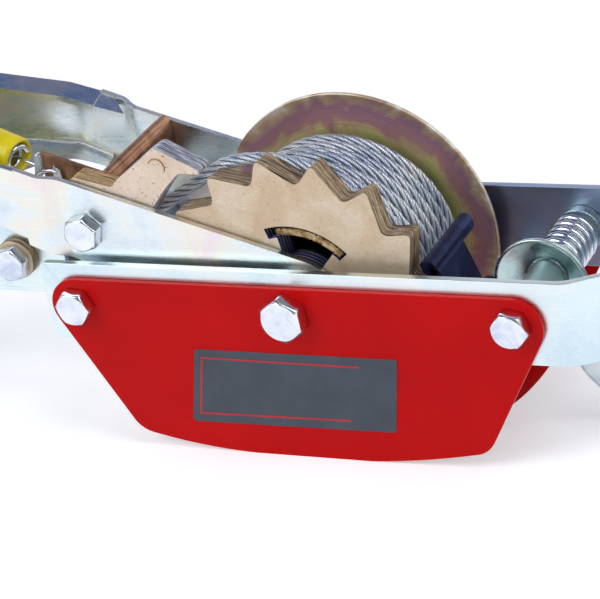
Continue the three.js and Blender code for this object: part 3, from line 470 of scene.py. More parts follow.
def evenSkin(name, skin):
    # one colour all through, which drifts a little, over the fine texture of its making
    material, tree, shader = newMaterial(name, {
        "Roughness": skin["roughness"], "Specular IOR Level": skin.get("specular", 0.5)})
    still = inMillimetres(tree)
    texture = {"Detail": skin["detail"]}
    drift = addNode(tree, "TexNoise", {**texture, "Scale": 1 / skin["drift"]}, {"Vector": still})
    colour = addNode(tree, "ValToRGB", {"stops": skin["tints"]}, {"Fac": drift})
    grit = addNode(tree, "TexNoise", {**texture, "Scale": 1 / skin["grit"]}, {"Vector": still})
    bump = addNode(tree, "Bump", {"Strength": skin["bump"], "Distance": 0.0001}, {"Height": grit})
    join(tree, shader, {"Base Color": colour, "Normal": bump})
    return material


# stoved enamel on sheet steel: a smooth deep red film with a slight orange peel
redPaint = evenSkin("stovedRedEnamel", {
    "tints": [(0.3, "#c60103"), (0.7, "#d60305")], "drift": 45, "detail": 2, "grit": 1.6, "bump": 0.12,
    "roughness": 0.3, "specular": 0.12})
moulded = {"drift": 12, "detail": 3, "bump": 0.3}
# a printed film and its ink: even, half matt colour over the film's own fine grain
slateFilm = evenSkin("slatePrintedFilm", {
    **moulded, "tints": [(0.35, "#37424e"), (0.65, "#414c58")], "roughness": 0.45, "grit": 0.8})
redInk = evenSkin("redScreenInk", {
    **moulded, "tints": [(0.35, "#b31c2b"), (0.65, "#c42231")], "roughness": 0.4, "grit": 0.8})
# injection mouldings: satin nylon and matt rubber, with the mould's spark texture
yellowPlastic = evenSkin("yellowMouldedNylon", {
    **moulded, "tints": [(0.35, "#e2c800"), (0.65, "#f0dc00")], "roughness": 0.38, "grit": 0.5})
blackRubber = evenSkin("blackMouldedRubber", {
    **moulded, "tints": [(0.35, "#1e1f21"), (0.65, "#2b2c2e")], "roughness": 0.62, "grit": 0.4})

finishOf = {
    "zinc_plate": brightZinc, "yellow_zinc": beigePlate, "bronze_zinc": bronzeSheet,
    "blued_steel": temperedSteel, "wire_rope": boltZinc, "red_paint": redPaint,
    "yellow_plastic": yellowPlastic, "black_rubber": blackRubber,
}
# the far strap takes the darker, bluer copy of the strip's zinc: painted reflection
ownFinish = {"handle": pressedZinc, "spring_cup": tealZinc, "spring_collar": tealZinc,
             "far_frame_strap": darkReflectionZinc}


def dressNodes():
    # nodes whose shape is right keep it: their edges are rounded and they get their finish
    slotOf = {entry["node"]: entry["material_slot"] for entry in frame["record"]["subparts"]}
    for name, piece in frame["nodes"].items():
        piece.data.materials.clear()
        piece.data.materials.append(ownFinish.get(name, finishOf[slotOf[name]]))
        weld = piece.modifiers.new("weld", "WELD")
        weld.merge_threshold = 0.00001
        finishEdges(piece, 0.35, 38)


dressNodes()
print("nodes dressed")


# ---- fasteners ----
threads = {
    # metric thread: flats, head height, shank radius, pitch
    8: (13, 5.3, 4, 1.25), 10: (16, 6.4, 5, 1.5),
}
fasteners = {
    # place: thread, then how far in radians the hexagons of the head and of the nut are turned
    "axle": (10, -0.036, 0.3), "left_cross": (8, -0.418, 0.3), "right_cross": (8, -0.344, 0.3),
    "sheave": (8, 0.3, 0.3), "load_hook": (8, 0.1, 0.3), "pawl_pivot": (8, 0.25, 0.3),
    "support_hook": (10, 0.2, 0.3),
}
hexagon = {
    "circle": 0.47, "seat": 0.46, "dish": (0.2, 0.3),      # radii as shares of the flats
    "threaded": 14, "crest": 0.08, "root": 0.62, "bore": 0.15,
}


def hexagonReach(flats, turn, angle):
    # distance from the centre to the side of a hexagon, at each angle
    corner = np.radians(30) - turn
    within = np.mod(angle - corner, np.radians(60)) - np.radians(30)
    return flats / 2 / np.cos(within)


def turnedHexagon(rows, flats, turn, x, z, closed, segments=120):
    # rows are (radius, y, cone): a radius of None is the hexagon's side, and cone is how far
    # the chamfer drops there for each millimetre beyond its flat circle
    angle = np.linspace(0, 2 * np.pi, segments, endpoint=False)
    reach = hexagonReach(flats, turn, angle)
    flatCircle = flats * hexagon["circle"]
    shells = []
    for radius, y, cone in rows:
        r = reach if radius is None else np.full(segments, float(radius))
        drop = cone * np.maximum(reach - flatCircle, 0) if radius is None else 0
        shells.append(np.stack([x + r * np.cos(angle), y + drop + 0 * angle, z + r * np.sin(angle)], -1))
    faces = [face[::-1] for face in gridFaces(len(rows), segments, closed)]
    if not closed:
        faces += endCaps(len(rows), segments)
    return np.array(shells).reshape(-1, 3), faces


def boltRows(low, high, flats, head, shank, pitch):
    # from the dished face of the head, over its chamfer, down to the threaded end
    circle, seat = flats * hexagon["circle"], low + head
    middle, rim = hexagon["dish"]
    rows = [(flats * middle, low + 0.35, 0), (flats * rim, low + 0.05, 0), (circle - 0.6, low, 0),
            (circle, low + 0.12, 0), (None, low + 0.2, 0.6), (None, seat - 0.25, 0),
            (flats * hexagon["seat"], seat, 0), (shank + 0.5, seat, 0), (shank, seat + 0.5, 0)]
    y = high - hexagon["threaded"]
    while y < high - pitch - 0.6:
        rows += [(shank - hexagon["crest"], y, 0), (shank - hexagon["root"], y + pitch / 2, 0)]
        y += pitch
    rows += [(shank - 0.1, y, 0), (shank - 0.9, high, 0)]
    return rows


def nutRows(low, high, flats, shank):
    # a ring with both faces chamfered
    circle, bore = flats * hexagon["circle"], shank + hexagon["bore"]
    return [(bore + 0.6, low, 0), (circle, low, 0), (None, low + 0.1, 0.5), (None, high - 0.1, -0.5),
            (circle, high, 0), (bore + 0.7, high, 0), (bore, high - 0.7, 0), (bore, low + 0.6, 0)]


def makeFasteners():
    bodyOf = {n: b for b, members in frame["record"]["behaviour"]["bodies"].items() for n in members}
    for place, (thread, *turns) in fasteners.items():
        flats, head, shank, pitch = threads[thread]
        for node, turn in zip((place + "_bolt", place + "_nut"), turns):
            low, high = millimetres(node)
            isNut = node.endswith("nut")
            ends = low[1], high[1], flats
            rows = nutRows(*ends, shank) if isNut else boltRows(*ends, head, shank, pitch)
            points, faces = turnedHexagon(rows, flats, turn, *centre(low, high), isNut)
            piece = meshPiece(node + "_fine", points, faces, bodyOf[node], "zinc_plate", boltZinc, smooth=30)
            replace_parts(piece, node)


makeFasteners()
print("fasteners made")


# ---- sleeves, washers and turned rings ----
rings = {
    # node: bore radius, body
    "axle_sleeve": (5.3, "frame"), "left_spacer_sleeve": (4.3, "frame"),
    "right_spacer_sleeve": (4.3, "frame"), "pawl_pivot_sleeve": (4.4, "handle"),
    "near_axle_washer": (8.4, "frame"), "far_axle_washer": (8.4, "frame"), "sheave_bush": (4.3, "frame"),
    "spring_collar": (4.3, "frame"), "sheave_collar": (4.3, "frame"),
}


def makeRings():
    # plain rings that take the place and size of their nodes
    for node, (bore, body) in rings.items():
        low, high = millimetres(node)
        outer = (high[0] - low[0]) / 2
        profile = [(bore, low[1]), (outer, low[1]), (outer, high[1]), (bore, high[1])]
        if node.startswith("sheave"):
            look = "yellow_zinc", beigePlate, 0.5
        else:
            look = "zinc_plate", ownFinish.get(node, brightZinc if "spacer" in node else boltZinc), 0.35
        piece = meshPiece(node + "_fine", *revolve(profile, *centre(low, high)), body, *look)
        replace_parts(piece, node)


makeRings()


drum = {
    # pairs of radius and y: the dished disc from its hub, over the rolled rim and back
    "flange": [(8.4, 27.2), (36, 27.2), (40, 27.35), (43, 28.0), (49, 28.8), (53, 29.0), (55.4, 28.7),
               (56.6, 28.1), (57.2, 28.2), (57.4, 28.8), (57.3, 29.6), (56.6, 30.3), (55.6, 30.4), (54, 30.3),
               (49, 30.4), (43, 29.6), (40, 28.95), (36, 28.8), (8.4, 28.8)],
    "sheave": [(6.9, -4.5), (14.9, -4.5), (15.4, -4.3), (15.5, -3.8), (14.8, -3.4), (12.4, -2.9),
               (11.2, -2.1), (10.7, -1.0), (10.6, 0), (10.7, 1.0), (11.2, 2.1), (12.4, 2.9), (14.8, 3.4),
               (15.5, 3.8), (15.4, 4.3), (14.9, 4.5), (6.9, 4.5)],
    "cup": [(7.4, -4.1), (8.6, -4.4), (13, -7.4), (16.4, -10.0), (17.1, -10.7), (17.9, -10.7), (18.3, -10.2),
            (18.2, -9.2), (17.2, -8.2), (12.6, -5.0), (9.0, -2.5), (7.4, -1.9)],
    # the layers below: from and to y, then radii, a ridge for each turn of the rope, and steps
    "layers": (-21.1, 26.9), "inside": 30.3, "core": 38.0, "ridge": 1.3, "apart": 5.5, "steps": 141,
    "shade": 0.3,                         # painted shade: drawn as dark as the painted shade between the rope's strands
}


def makeTurned():
    flange = revolve(drum["flange"], 0, 0, 256)
    piece = meshPiece("drum_flange_fine", *flange, "drum", "yellow_zinc", flangeZinc, smooth=30)
    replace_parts(piece, "drum_flange")
    groove = revolve(drum["sheave"], *centre(*millimetres("sheave")), 96)
    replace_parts(meshPiece("sheave_fine", *groove, "sheave", "yellow_zinc", beigePlate, smooth=30), "sheave")
    cup = revolve(drum["cup"], *centre(*millimetres("spring_cup")), 128)
    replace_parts(meshPiece("spring_cup_fine", *cup, "frame", "zinc_plate", tealZinc, smooth=30), "spring_cup")
    start, end = drum["layers"]
    y = np.linspace(start, end, drum["steps"])
    ridges = drum["core"] + drum["ridge"] * np.abs(np.sin(np.pi * (y - start) / drum["apart"]))
    loop = [(drum["inside"], start)] + list(zip(ridges, y)) + [(drum["inside"], end)]
    points, faces = revolve(loop, 0, 0, 120)
    # every point sits at one place across a strand, which the rope's finish paints in deep shade: painted shade on
    # the layers below
    shaded = np.stack([np.full(len(points), drum["shade"]), points[:, 1]], -1)
    below = meshPiece("rope_layers_below", points, faces, "drum", "wire_rope", ropeSteel, uv=shaded, smooth=0)
    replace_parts(below, "rope_inner_layers")


# ---- ratchet wheel and the barrel's tabs that hold its plates ----
wheel = {
    "plates": 5, "near": -30.6, "pitch": 1.9, "gap": 0.22, "teeth": 16, "phase": 7.6,
    "tooth": [(-1.0, 56.6), (0.5, 56.4), (4.6, 49.0), (7.0, 48.0)],     # degrees along the pitch, radius
    "bore": 8.4, "rows": (16.8, 26.2, 30.4), "windows": (74, 194, 314), "half": 33, "narrow": 25,
    "samples": 720, "soften": 5,                # round the wheel, and how many a corner is softened over
    "turned": 0.2,                              # degrees
}
barrel = {
    "inner": 25.3, "outer": 30.0, "near": -21.1, "far": 26.9,
    "tab": [(26.6, -20.6), (29.8, -20.6), (29.9, -30.6), (29.3, -31.3), (27.6, -31.4), (27.0, -30.8)],
    "spread": (-31, 24), "steps": 41,             # degrees each side of a window's middle
    "dents": 0.45, "hammeredFrom": -27, "hammeredOver": 3,
}


def toothedRim(angle):
    # distance out to the saw teeth at each angle: straight lines between four points for each tooth
    steps = [(wheel["phase"] + 360 / wheel["teeth"] * k + at, r) for k in range(wheel["teeth"])
             for at, r in wheel["tooth"]]
    steps = np.array(sorted((a % 360, r) for a, r in steps))
    where = np.radians(steps[:, 0])
    corners = np.stack([np.cos(where), np.sin(where)], -1) * steps[:, 1:]
    after = np.searchsorted(where, angle) % len(where)
    p, q = corners[after - 1], corners[after]
    aim = np.stack([np.cos(angle), np.sin(angle)], -1)
    side = q - p
    reach = (p[:, 0] * side[:, 1] - p[:, 1] * side[:, 0]) / (aim[:, 0] * side[:, 1] - aim[:, 1] * side[:, 0])
    window = np.hanning(wheel["soften"] + 2)[1:-1]
    spare = 8
    wrapped = np.concatenate([reach[-spare:], reach, reach[:spare]])
    return np.convolve(wrapped, window / window.sum(), "same")[spare:-spare]


def makeWheel():
    # five punched plates side by side, each turned a trace from the next
    rng = np.random.default_rng(5)
    samples = wheel["samples"]
    degrees = np.arange(samples) * 360 / samples
    angle = np.radians(degrees)
    rim = toothedRim(angle)
    # how far the middle of each cell lies from the nearest window's
    middles = (degrees[:, None] + 180 / samples - np.array(wheel["windows"]) + 180) % 360 - 180
    near = np.abs(middles).min(1)
    keep = np.ones((len(wheel["rows"]) + 1, samples), bool)
    keep[1] = near > wheel["narrow"]
    keep[2] = near > wheel["half"]
    reach = np.vstack([np.full(samples, r) for r in (wheel["bore"], *wheel["rows"])] + [rim])
    for k in range(wheel["plates"]):
        turned = angle + np.radians(rng.uniform(-wheel["turned"], wheel["turned"]))
        flat = np.stack([reach * np.cos(turned), reach * np.sin(turned)], -1)
        y = wheel["near"] + wheel["pitch"] * k
        points, faces = pierced(flat, keep, y, y + wheel["pitch"] - wheel["gap"])
        piece = meshPiece(f"ratchet_leaf_{k + 1}", points, faces, "drum", "yellow_zinc", beigePlate, 0.28,
                          smooth=50)
        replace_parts(piece, f"ratchet_plate_{k + 1}")


def makeBarrel():
    # a short tube whose three tabs stand through the wheel's windows and are hammered over
    rng = np.random.default_rng(11)
    tube = [(barrel["inner"], barrel["near"]), (barrel["outer"], barrel["near"]),
            (barrel["outer"], barrel["far"]), (barrel["inner"], barrel["far"])]
    shells = [revolve(tube, 0, 0, 120)]
    section = rounded(barrel["tab"], 0.5, 3)
    columns = len(section)
    steps = barrel["steps"]
    beyond = (barrel["hammeredFrom"] - section[:, 1]) / barrel["hammeredOver"]
    hammered = np.clip(beyond, 0, 1) * barrel["dents"]
    for middle in wheel["windows"]:
        a = np.radians(middle + np.linspace(*barrel["spread"], steps))
        dent = rng.normal(0, 1, (steps, columns)) * hammered
        r, y = section[:, 0] + 0.5 * dent, section[:, 1] + np.abs(dent)
        points = np.stack([r * np.cos(a)[:, None], y, r * np.sin(a)[:, None]], -1).reshape(-1, 3)
        shells.append((points, closedGrid(steps, columns)))
    points, faces = together(shells)
    piece = meshPiece("drum_barrel_fine", points, faces, "drum", "yellow_zinc", hammeredGold, smooth=30)
    outwards(piece)
    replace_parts(piece, "drum_barrel")


makeWheel()
makeBarrel()
print("wheel made")


# ---- pawls ----
drivePawl = {
    "outline": [(-31, 50.6), (-31.6, 52.6), (-47.4, 60.9), (-49.6, 60.4), (-67.6, 47.2), (-69.4, 44.4),
                (-85.6, 48.4), (-88, 46.4)],
    "pivot": (-83, 27.7), "bore": 6.7, "hub": 10.5, "hubTurn": (160, 290, 12),
    "belly": 64.6, "bellyTurn": (156, 128, 14),              # the arc that clears the wheel's teeth
    "near": -30.6, "pitch": 1.84, "gap": 0.2, "leaves": 5, "shift": 0.18, "round": 2.4,
    "mark": (-48.8, 53.2, 3.4, 150, -25), "markWire": 0.32,  # x, z, radius, from and to in degrees
}
holdingPawl = {
    "bar": [(51.0, 17.5), (52.2, 13.4), (54.8, 11.9), (57.4, 12.6), (57.2, 16.6), (54.8, 18.6)],
    "near": -30.6, "far": 8.0, "rows": 9,
    "skew": 1.6, "level": 57, "over": 6,      # the far end is cut on a slant, level at this x
    "web": [(54.6, 15.6), (58.4, 15.2), (66.2, -8), (66.9, -10.2), (66.2, -12.4), (63.6, -13.6),
            (60.9, -12.4), (60.1, -9.6)],
    "webFar": -6.0, "pin": (63.6, -10, 3.4), "boss": 6.0, "bossNear": -29, "bossFar": 2.0,
}


def arc(x, z, radius, start, stop, count):
    turn = np.radians(np.linspace(start, stop, count))
    return np.stack([x + radius * np.cos(turn), z + radius * np.sin(turn)], -1)


def makeDrivePawl():
    # hardened leaves riveted side by side, none quite flush with the next
    rng = np.random.default_rng(3)
    x, z = drivePawl["pivot"]
    corners = np.vstack([drivePawl["outline"], arc(x, z, drivePawl["hub"], *drivePawl["hubTurn"]),
                         arc(0, 0, drivePawl["belly"], *drivePawl["bellyTurn"])])
    outline = rounded(corners, drivePawl["round"], 4)
    shells = []
    for k in range(drivePawl["leaves"]):
        y = drivePawl["near"] + drivePawl["pitch"] * k
        shift = rng.uniform(-drivePawl["shift"], drivePawl["shift"], 2)
        far = y + drivePawl["pitch"] - drivePawl["gap"]
        shells.append(plate(outline + shift, y, far, (x, z, drivePawl["bore"])))
    piece = meshPiece("drive_pawl_leaves", *together(shells), "drive_pawl", "yellow_zinc", goldPlate, 0.3,
                      smooth=35)
    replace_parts(piece, "drive_pawl")
    # the punch mark is a thin ridge in the darker bronze finish: painted shade of the punched dent
    line = np.insert(arc(*drivePawl["mark"], 40), 1, drivePawl["near"] - 0.02, axis=1)
    mark = closedTube(line, drivePawl["markWire"], 8)
    meshPiece("pawl_punch_mark", *mark, "drive_pawl", "bronze_zinc", bronzeSheet, smooth=0)


linkage = {
    # two small brackets and the wire between them, through which the slider tilts the pawl carrier
    "eye": [(-111.0, 41.4), (-108.2, 41.0), (-106.8, 50.4), (-109.4, 50.9)], "eyeY": (-17.6, -14.8),
    "rod": [(-126, -12.4, 49.3), (-108.6, -16.1, 45.1)], "rodRadius": 0.7,
    "ear": [(-99.6, 42.4), (-95.2, 41.0), (-96.0, 47.0), (-98.8, 48.8)], "earY": (-22.6, -21.0),
    "wire": [(-109.6, -19.0, 42.8), (-108, -19.3, 43.8), (-103.6, -22.0, 46.2), (-99, -22.4, 46.6),
             (-97.6, -22.8, 45.8)],
    "wireRadius": 0.65, "roll": [(-77.8, -20.6, 44.4), (-77.8, 30.6, 44.4)], "rollRadius": 1.9,
}


def makeLinkage():
    eye = plate(rounded(linkage["eye"], 0.8, 3), *linkage["eyeY"])
    rod = closedTube(smoothLine(linkage["rod"], 1.0), linkage["rodRadius"], 12)
    meshPiece("slider_rod_and_eye", *together([eye, rod]), "release_slider", "zinc_plate", boltZinc, 0.2)
    ear = plate(rounded(linkage["ear"], 0.8, 3), *linkage["earY"])
    wire = closedTube(smoothLine(linkage["wire"], 0.6), linkage["wireRadius"], 10)
    meshPiece("carrier_ear_and_wire", *together([ear, wire]), "drive_pawl", "zinc_plate", boltZinc, 0.2)
    roll = closedTube(smoothLine(linkage["roll"], 1.5), linkage["rollRadius"], 20)
    meshPiece("carrier_rolled_edge", *roll, "drive_pawl", "bronze_zinc", bronzeSheet, 0.3, smooth=50)


def makeHoldingPawl():
    bar = rounded(holdingPawl["bar"], 1.3, 5)
    columns, rows, near = len(bar), holdingPawl["rows"], holdingPawl["near"]
    part = np.linspace(0, 1, rows)[:, None]
    slant = holdingPawl["skew"] * part * (holdingPawl["level"] - bar[:, 0]) / holdingPawl["over"]
    y = near + (holdingPawl["far"] - near) * part + slant
    points = np.stack(np.broadcast_arrays(bar[:, 0], y, bar[:, 1]), -1).reshape(-1, 3)
    faces = [face[::-1] for face in closedGrid(rows, columns)]
    # the web rises from the pivot into the bar
    web = plate(rounded(holdingPawl["web"], 1.2, 4), near, holdingPawl["webFar"], holdingPawl["pin"])
    x, z, bore = holdingPawl["pin"]
    outer, start, end = holdingPawl["boss"], holdingPawl["bossNear"], holdingPawl["bossFar"]
    boss = revolve([(bore, start), (outer, start), (outer, end), (bore, end)], x, z, 48)
    shells = together([(points, faces), web, boss])
    piece = meshPiece("holding_pawl_fine", *shells, "holding_pawl", "blued_steel", temperedSteel, 0.45,
                      smooth=35)
    outwards(piece)
    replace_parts(piece, "holding_pawl")


makeDrivePawl()
makeLinkage()
makeHoldingPawl()
print("pawls made")


# ---- handle: a pressed channel that opens into two arms ----
handle = {
    # along x: half width, underside, top edge, and how far the lip turns in
    "stations": [(-107, 37.5, 22.4, 53.6, 9.6), (-121, 37.5, 28, 57.4, 9.6), (-150, 30.2, 33.5, 64.5, 9.4),
                 (-190, 20.2, 42, 74.3, 7), (-217, 13.4, 49.5, 80.9, 4.6), (-334, 13.4, 72.9, 104.3, 4.6)],
    "throat": -136, "throatRows": 17, "rows": 61, "thick": 2.4, "nearLip": (-168, -121),
    "foot": 5, "throatWall": 7.4,         # the bend under each wall, and the web left beside the throat
    "lipRound": 1.2, "lipShoulder": 0.35, "lipInside": 0.8,
    "droop": 0.36,                        # how far a lip slopes down for each millimetre it turns in
    "outer": 33.8, "flare": 37.5, "joggle": (-90.6, -98.6), "eye": 19, "eyeTurn": (-111.6, 71.2, 61),
    "bore": 8.4, "outlineSteps": 240, "top": [(-90.3, 48.2), (-107, 53.9)], "bottom": (-107, 22.3),
    "lipEnd": [(-107, 36.6, 53.5), (-107, 27.9, 50.6), (-95, 29.8, 46.6), (-102.6, 36.6, 52.2)],
}


def channelHalf(side):
    # a wall with its rounded foot, turned lip and its half of the web, which stops short at the throat
    t, foot = handle["thick"], handle["foot"]
    throatRows = handle["throatRows"]
    front, throat, back = handle["stations"][0][0], handle["throat"], handle["stations"][-1][0]
    curve = 1 - np.cos(np.radians(np.linspace(90, 0, throatRows)))
    x = np.concatenate([throat + (front - throat) * curve, np.linspace(throat, back, handle["rows"])[1:]])
    table = np.array(handle["stations"][::-1])
    half, low, high, lip = [np.interp(x, table[:, 0], table[:, k])[:, None] for k in (1, 2, 3, 4)]
    start, end = handle["nearLip"]
    if side < 0:
        lip = lip * np.clip((end - x) / (end - start), 0, 1)[:, None]
    lip = np.maximum(lip, t)
    ahead = np.clip((x - throat) / (front - throat), 0, 1)[:, None]
    web = (half - handle["throatWall"]) * np.sqrt(1 - (1 - ahead) ** 2)
    bend = np.radians(np.linspace(-90, 0, 7))
    drop = handle["droop"] * (lip - t)
    zero = 0 * half
    # round the wall's section: web, outside of the bend, top edge, lip, and back down inside
    soft, shoulder, crook = handle["lipRound"], handle["lipShoulder"], handle["lipInside"]
    loop = [(web, low)] + [(half - foot + foot * math.cos(a), low + foot + foot * math.sin(a)) for a in bend]
    loop += [(half, high - soft), (half - shoulder, high - shoulder), (half - soft, high),
             (half - lip, high - drop), (half - lip, high - t - drop),
             (half - np.minimum(lip, t + crook), high - t), (half - t, high - t - crook)]
    inner = foot - t
    loop += [(half - foot + inner * math.cos(a), low + foot + inner * math.sin(a)) for a in bend[::-1]]
    loop += [(web, low + t)]
    points = np.stack([np.hstack([x[:, None] + zero, side * a + zero, b + zero]) for a, b in loop], 1)
    rows, columns = points.shape[:2]
    cells = np.array(gridFaces(rows, columns)).reshape(rows - 1, columns, 4)
    inside = np.zeros((rows - 1, columns), bool)
    inside[throatRows - 1:, -1] = True    # the two halves are one piece behind the throat
    return points.reshape(-1, 3), cells[~inside].tolist() + endCaps(rows, columns)


def handleArm(side):
    # rings of points between the axle hole and the arm's outline, set over by the joggle
    turn = np.radians(np.linspace(*handle["eyeTurn"]))
    eye = handle["eye"] * np.stack([np.cos(turn), np.sin(turn)], -1)
    path = np.vstack([eye, handle["top"], [handle["bottom"]], eye[:1]])
    along = distances(path)
    even = np.linspace(0, along[-1], handle["outlineSteps"], endpoint=False)
    marks = np.unique(np.concatenate([even, along[-4:-1]]))
    outline = np.stack([np.interp(marks, along, path[:, k]) for k in (0, 1)], -1)
    hole = unit(outline) * handle["bore"]
    # the rings lie closer towards the outline, where the joggle is
    share = np.concatenate([[0, 0.3, 0.6], np.linspace(0.72, 1, 20)])[:, None, None]
    flat = hole + (outline - hole) * share
    start, end = handle["joggle"]
    part = np.clip((flat[..., 0] - start) / (end - start), 0, 1)
    over = handle["outer"] + (handle["flare"] - handle["outer"]) * part * part * (3 - 2 * part)
    skins = [np.stack([flat[..., 0], side * (over - d), flat[..., 1]], -1) for d in (0, handle["thick"])]
    points = np.concatenate([skins[0], skins[1][::-1]])
    return points.reshape(-1, 3), gridFaces(len(points), points.shape[1], True, True)


def makeHandle():
    top = np.array(handle["lipEnd"])
    lipEnd = np.vstack([top, top - [0, 0, handle["thick"]]])
    lipFaces = [[0, 1, 2, 3], [7, 6, 5, 4]]
    lipFaces += [[i, (i + 1) % 4, (i + 1) % 4 + 4, i + 4] for i in range(4)]
    shells = [channelHalf(-1), channelHalf(1), handleArm(-1), handleArm(1), (lipEnd, lipFaces)]
    piece = meshPiece("handle_pressing", *together(shells), "handle", "zinc_plate", pressedZinc, 0.35,
                      smooth=40)
    outwards(piece)
    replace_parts(piece, "handle")


makeHandle()
print("handle made")


# ---- hooks ----
hooks = {
    # x of the pin, lean in degrees, bore for the pin
    "load_hook": (-184, 54.5, 4.3), "support_hook": (170, 65, 5.3),
}
hookShape = {
    "thick": 9, "eye": 15, "bowl": (3, -56), "inner": 13.2, "heavy": 12.4, "round": 2.3, "soft": 2.6,
    "shank": [(-12.5, -9), (-9.4, -18), (-9.2, -28), (-14, -36)],
    # the back of the bowl in degrees, how much it swells below, and from where it thins to the tip
    "back": (150, 361, 6), "swell": (1.6, 0.9), "thin": (5, 315, 45),
    "tip": [(7.5, 8), (5.4, 20), (2.2, 22), (0, 12)],     # beyond the bowl's radius, degrees
    "inside": [(4.8, -41.6), (8.6, -36), (8.6, -20), (12.5, -9)],
}


def hookOutline():
    # round the eye, down the shank, round the back of the bowl to the tip, and back inside it
    x, z = hookShape["bowl"]
    inner = hookShape["inner"]
    a = np.arange(*hookShape["back"])
    swell, rate = hookShape["swell"]
    thin, start, over = hookShape["thin"]
    depth = inner + hookShape["heavy"] + swell * np.sin(np.radians((a - a[0]) * rate))
    depth = depth - thin * np.maximum(0, (a - start) / over)
    back = np.stack([x + depth * np.cos(np.radians(a)), z + depth * np.sin(np.radians(a))], -1)
    tip = [arc(x, z, inner + r, at, at, 1) for r, at in hookShape["tip"]]
    return np.vstack([arc(0, 0, hookShape["eye"], 0, 180, 31), hookShape["shank"], back, *tip,
                      arc(x, z, inner, 0, -240, 41), hookShape["inside"]])


def makeHooks():
    # drop forged: the section is rounded nearly all the way over
    outline = rounded(hookOutline(), hookShape["soft"], 3)
    for node, (x, lean, bore) in hooks.items():
        half = hookShape["thick"] / 2
        points, faces = plate(outline, -half, half, (0, 0, bore))
        c, s = math.cos(math.radians(lean)), math.sin(math.radians(lean))
        hung = np.stack([x + points[:, 0] * c + points[:, 2] * s, points[:, 1],
                         points[:, 2] * c - points[:, 0] * s], -1)
        piece = meshPiece(node + "_forged", hung, faces, node, "zinc_plate", forgedZinc, hookShape["round"],
                          smooth=35)
        piece.modifiers["edges"].segments = 5
        piece.modifiers["edges"].use_clamp_overlap = False
        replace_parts(piece, node)


makeHooks()
print("hooks made")


# ---- label: a bare printed field with an open red bracket, on the near side plate ----
label = {
    "field": [(-42, -16.9), (41.4, -16.6), (36, -47.8), (-49, -48.7)], "lift": 0.18,
    "bracket": [(25.6, -20.3), (-39.9, -20.1), (-45.4, -45.3), (18.4, -44.3), (18.2, -43.5), (-44.3, -44.4),
                (-39.2, -20.9), (25.4, -21.1)],
}


def makeLabel():
    y = millimetres("near_side_plate")[0][1]
    field = rounded(label["field"], 1.5, 5)
    meshPiece("label_field", *plate(field, y - label["lift"], y), "frame", "black_rubber", slateFilm, 0.06)
    lines = plate(label["bracket"], y - label["lift"] - 0.06, y - 0.05)
    meshPiece("label_bracket", *lines, "frame", "red_paint", redInk)


makeLabel()
print("label made")


# ---- rope ----
rope = {
    "radius": 2.5, "strands": 6, "lay": 33.0, "sides": 9,
    "wound": 41.4, "pitch": 5.5, "turns": 7.7, "firstY": 24.2, "endAngle": 71, "endRadius": 46.9,
    "rows": 1261, "rise": 60,                      # degrees over which the last turn lifts
    "wander": 0.38, "settle": 90,                  # and over which the wander dies away
    # the first arc of the free run: degrees, radius, and how much it and y grow over 50 degrees
    "runTurn": (72, 121, 8), "runOver": 50, "runRadius": 47.2, "runRise": 9.4, "runDrift": 0.8,
    "stops": [(-38.5, -16.8, 42.2), (-52, -14.6, 33.6), (-66, -12.2, 24.8), (-80, -9.6, 17.2),
              (-94, -5.6, 13.2), (-104, -3.4, 12.9), (-113, -2, 13.2), (-123, -0.8, 14.4)],
    "wrap": 13.6, "wrapTurn": (90, 287, 28),       # round the sheave
    "anchor": -88.6, "anchorSlope": 196.2, "anchorStops": (34, 24, 14.2),
}
wires = {
    "count": 9.0, "pitch": 3.4,                    # round a strand, and millimetres along it
    "tints": [(0.3, "#b4c0d4"), (0.5, "#dbe4ee"), (0.72, "#fbfcfd")],
    # painted shade: darker between the wires, and darker on each strand's side that faces into the rope
    "groove": [(0.0, 0.45), (0.45, 1.0)], "paintedStrandShade": [(0.08, 0.03), (0.34, 0.22), (0.56, 0.8), (0.85, 1.0)],
}


def woundLine():
    # turns side by side on the drum, the last one rising towards the free run
    left = np.linspace(360 * rope["turns"], 0, rope["rows"])
    rise = np.clip(1 - left / rope["rise"], 0, 1) ** 2
    radius = rope["wound"] + (rope["endRadius"] - rope["wound"]) * rise
    angle = np.radians(rope["endAngle"] - left)
    y = rope["firstY"] - rope["pitch"] * (360 * rope["turns"] - left) / 360
    # wound by hand: slow waves that never fall in step make each turn wander a little
    wander = rope["wander"] * np.clip(left / rope["settle"], 0, 1)
    y = y + wander * 0.6 * np.sin(left * 0.031 + 1.0)
    radius = radius + wander * (np.sin(left * 0.023) + 0.6 * np.sin(left * 0.061 + 2.0))
    return np.stack([radius * np.cos(angle), y, radius * np.sin(angle)], -1)


def runLine():
    # the loosened last turn, the stretch under the pawl pivot, round the sheave and back
    angle = np.arange(*rope["runTurn"])
    part = (angle - angle[0]) / rope["runOver"]
    radius = rope["runRadius"] + rope["runRise"] * part
    wave = np.radians(angle)
    lastY = rope["firstY"] - rope["pitch"] * rope["turns"] - 0.2
    first = np.stack([radius * np.cos(wave), lastY + rope["runDrift"] * part, radius * np.sin(wave)], -1)
    x, z = centre(*millimetres("sheave"))
    turn = np.radians(np.arange(*rope["wrapTurn"]))
    wrap = np.stack([x + rope["wrap"] * np.cos(turn), 0 * turn, z + rope["wrap"] * np.sin(turn)], -1)
    slope = math.radians(rope["anchorSlope"])
    ends = [(rope["anchor"] + r * math.cos(slope), 0, r * math.sin(slope)) for r in rope["anchorStops"]]
    return smoothLine([*first, *rope["stops"], *wrap, *ends], 1.6)


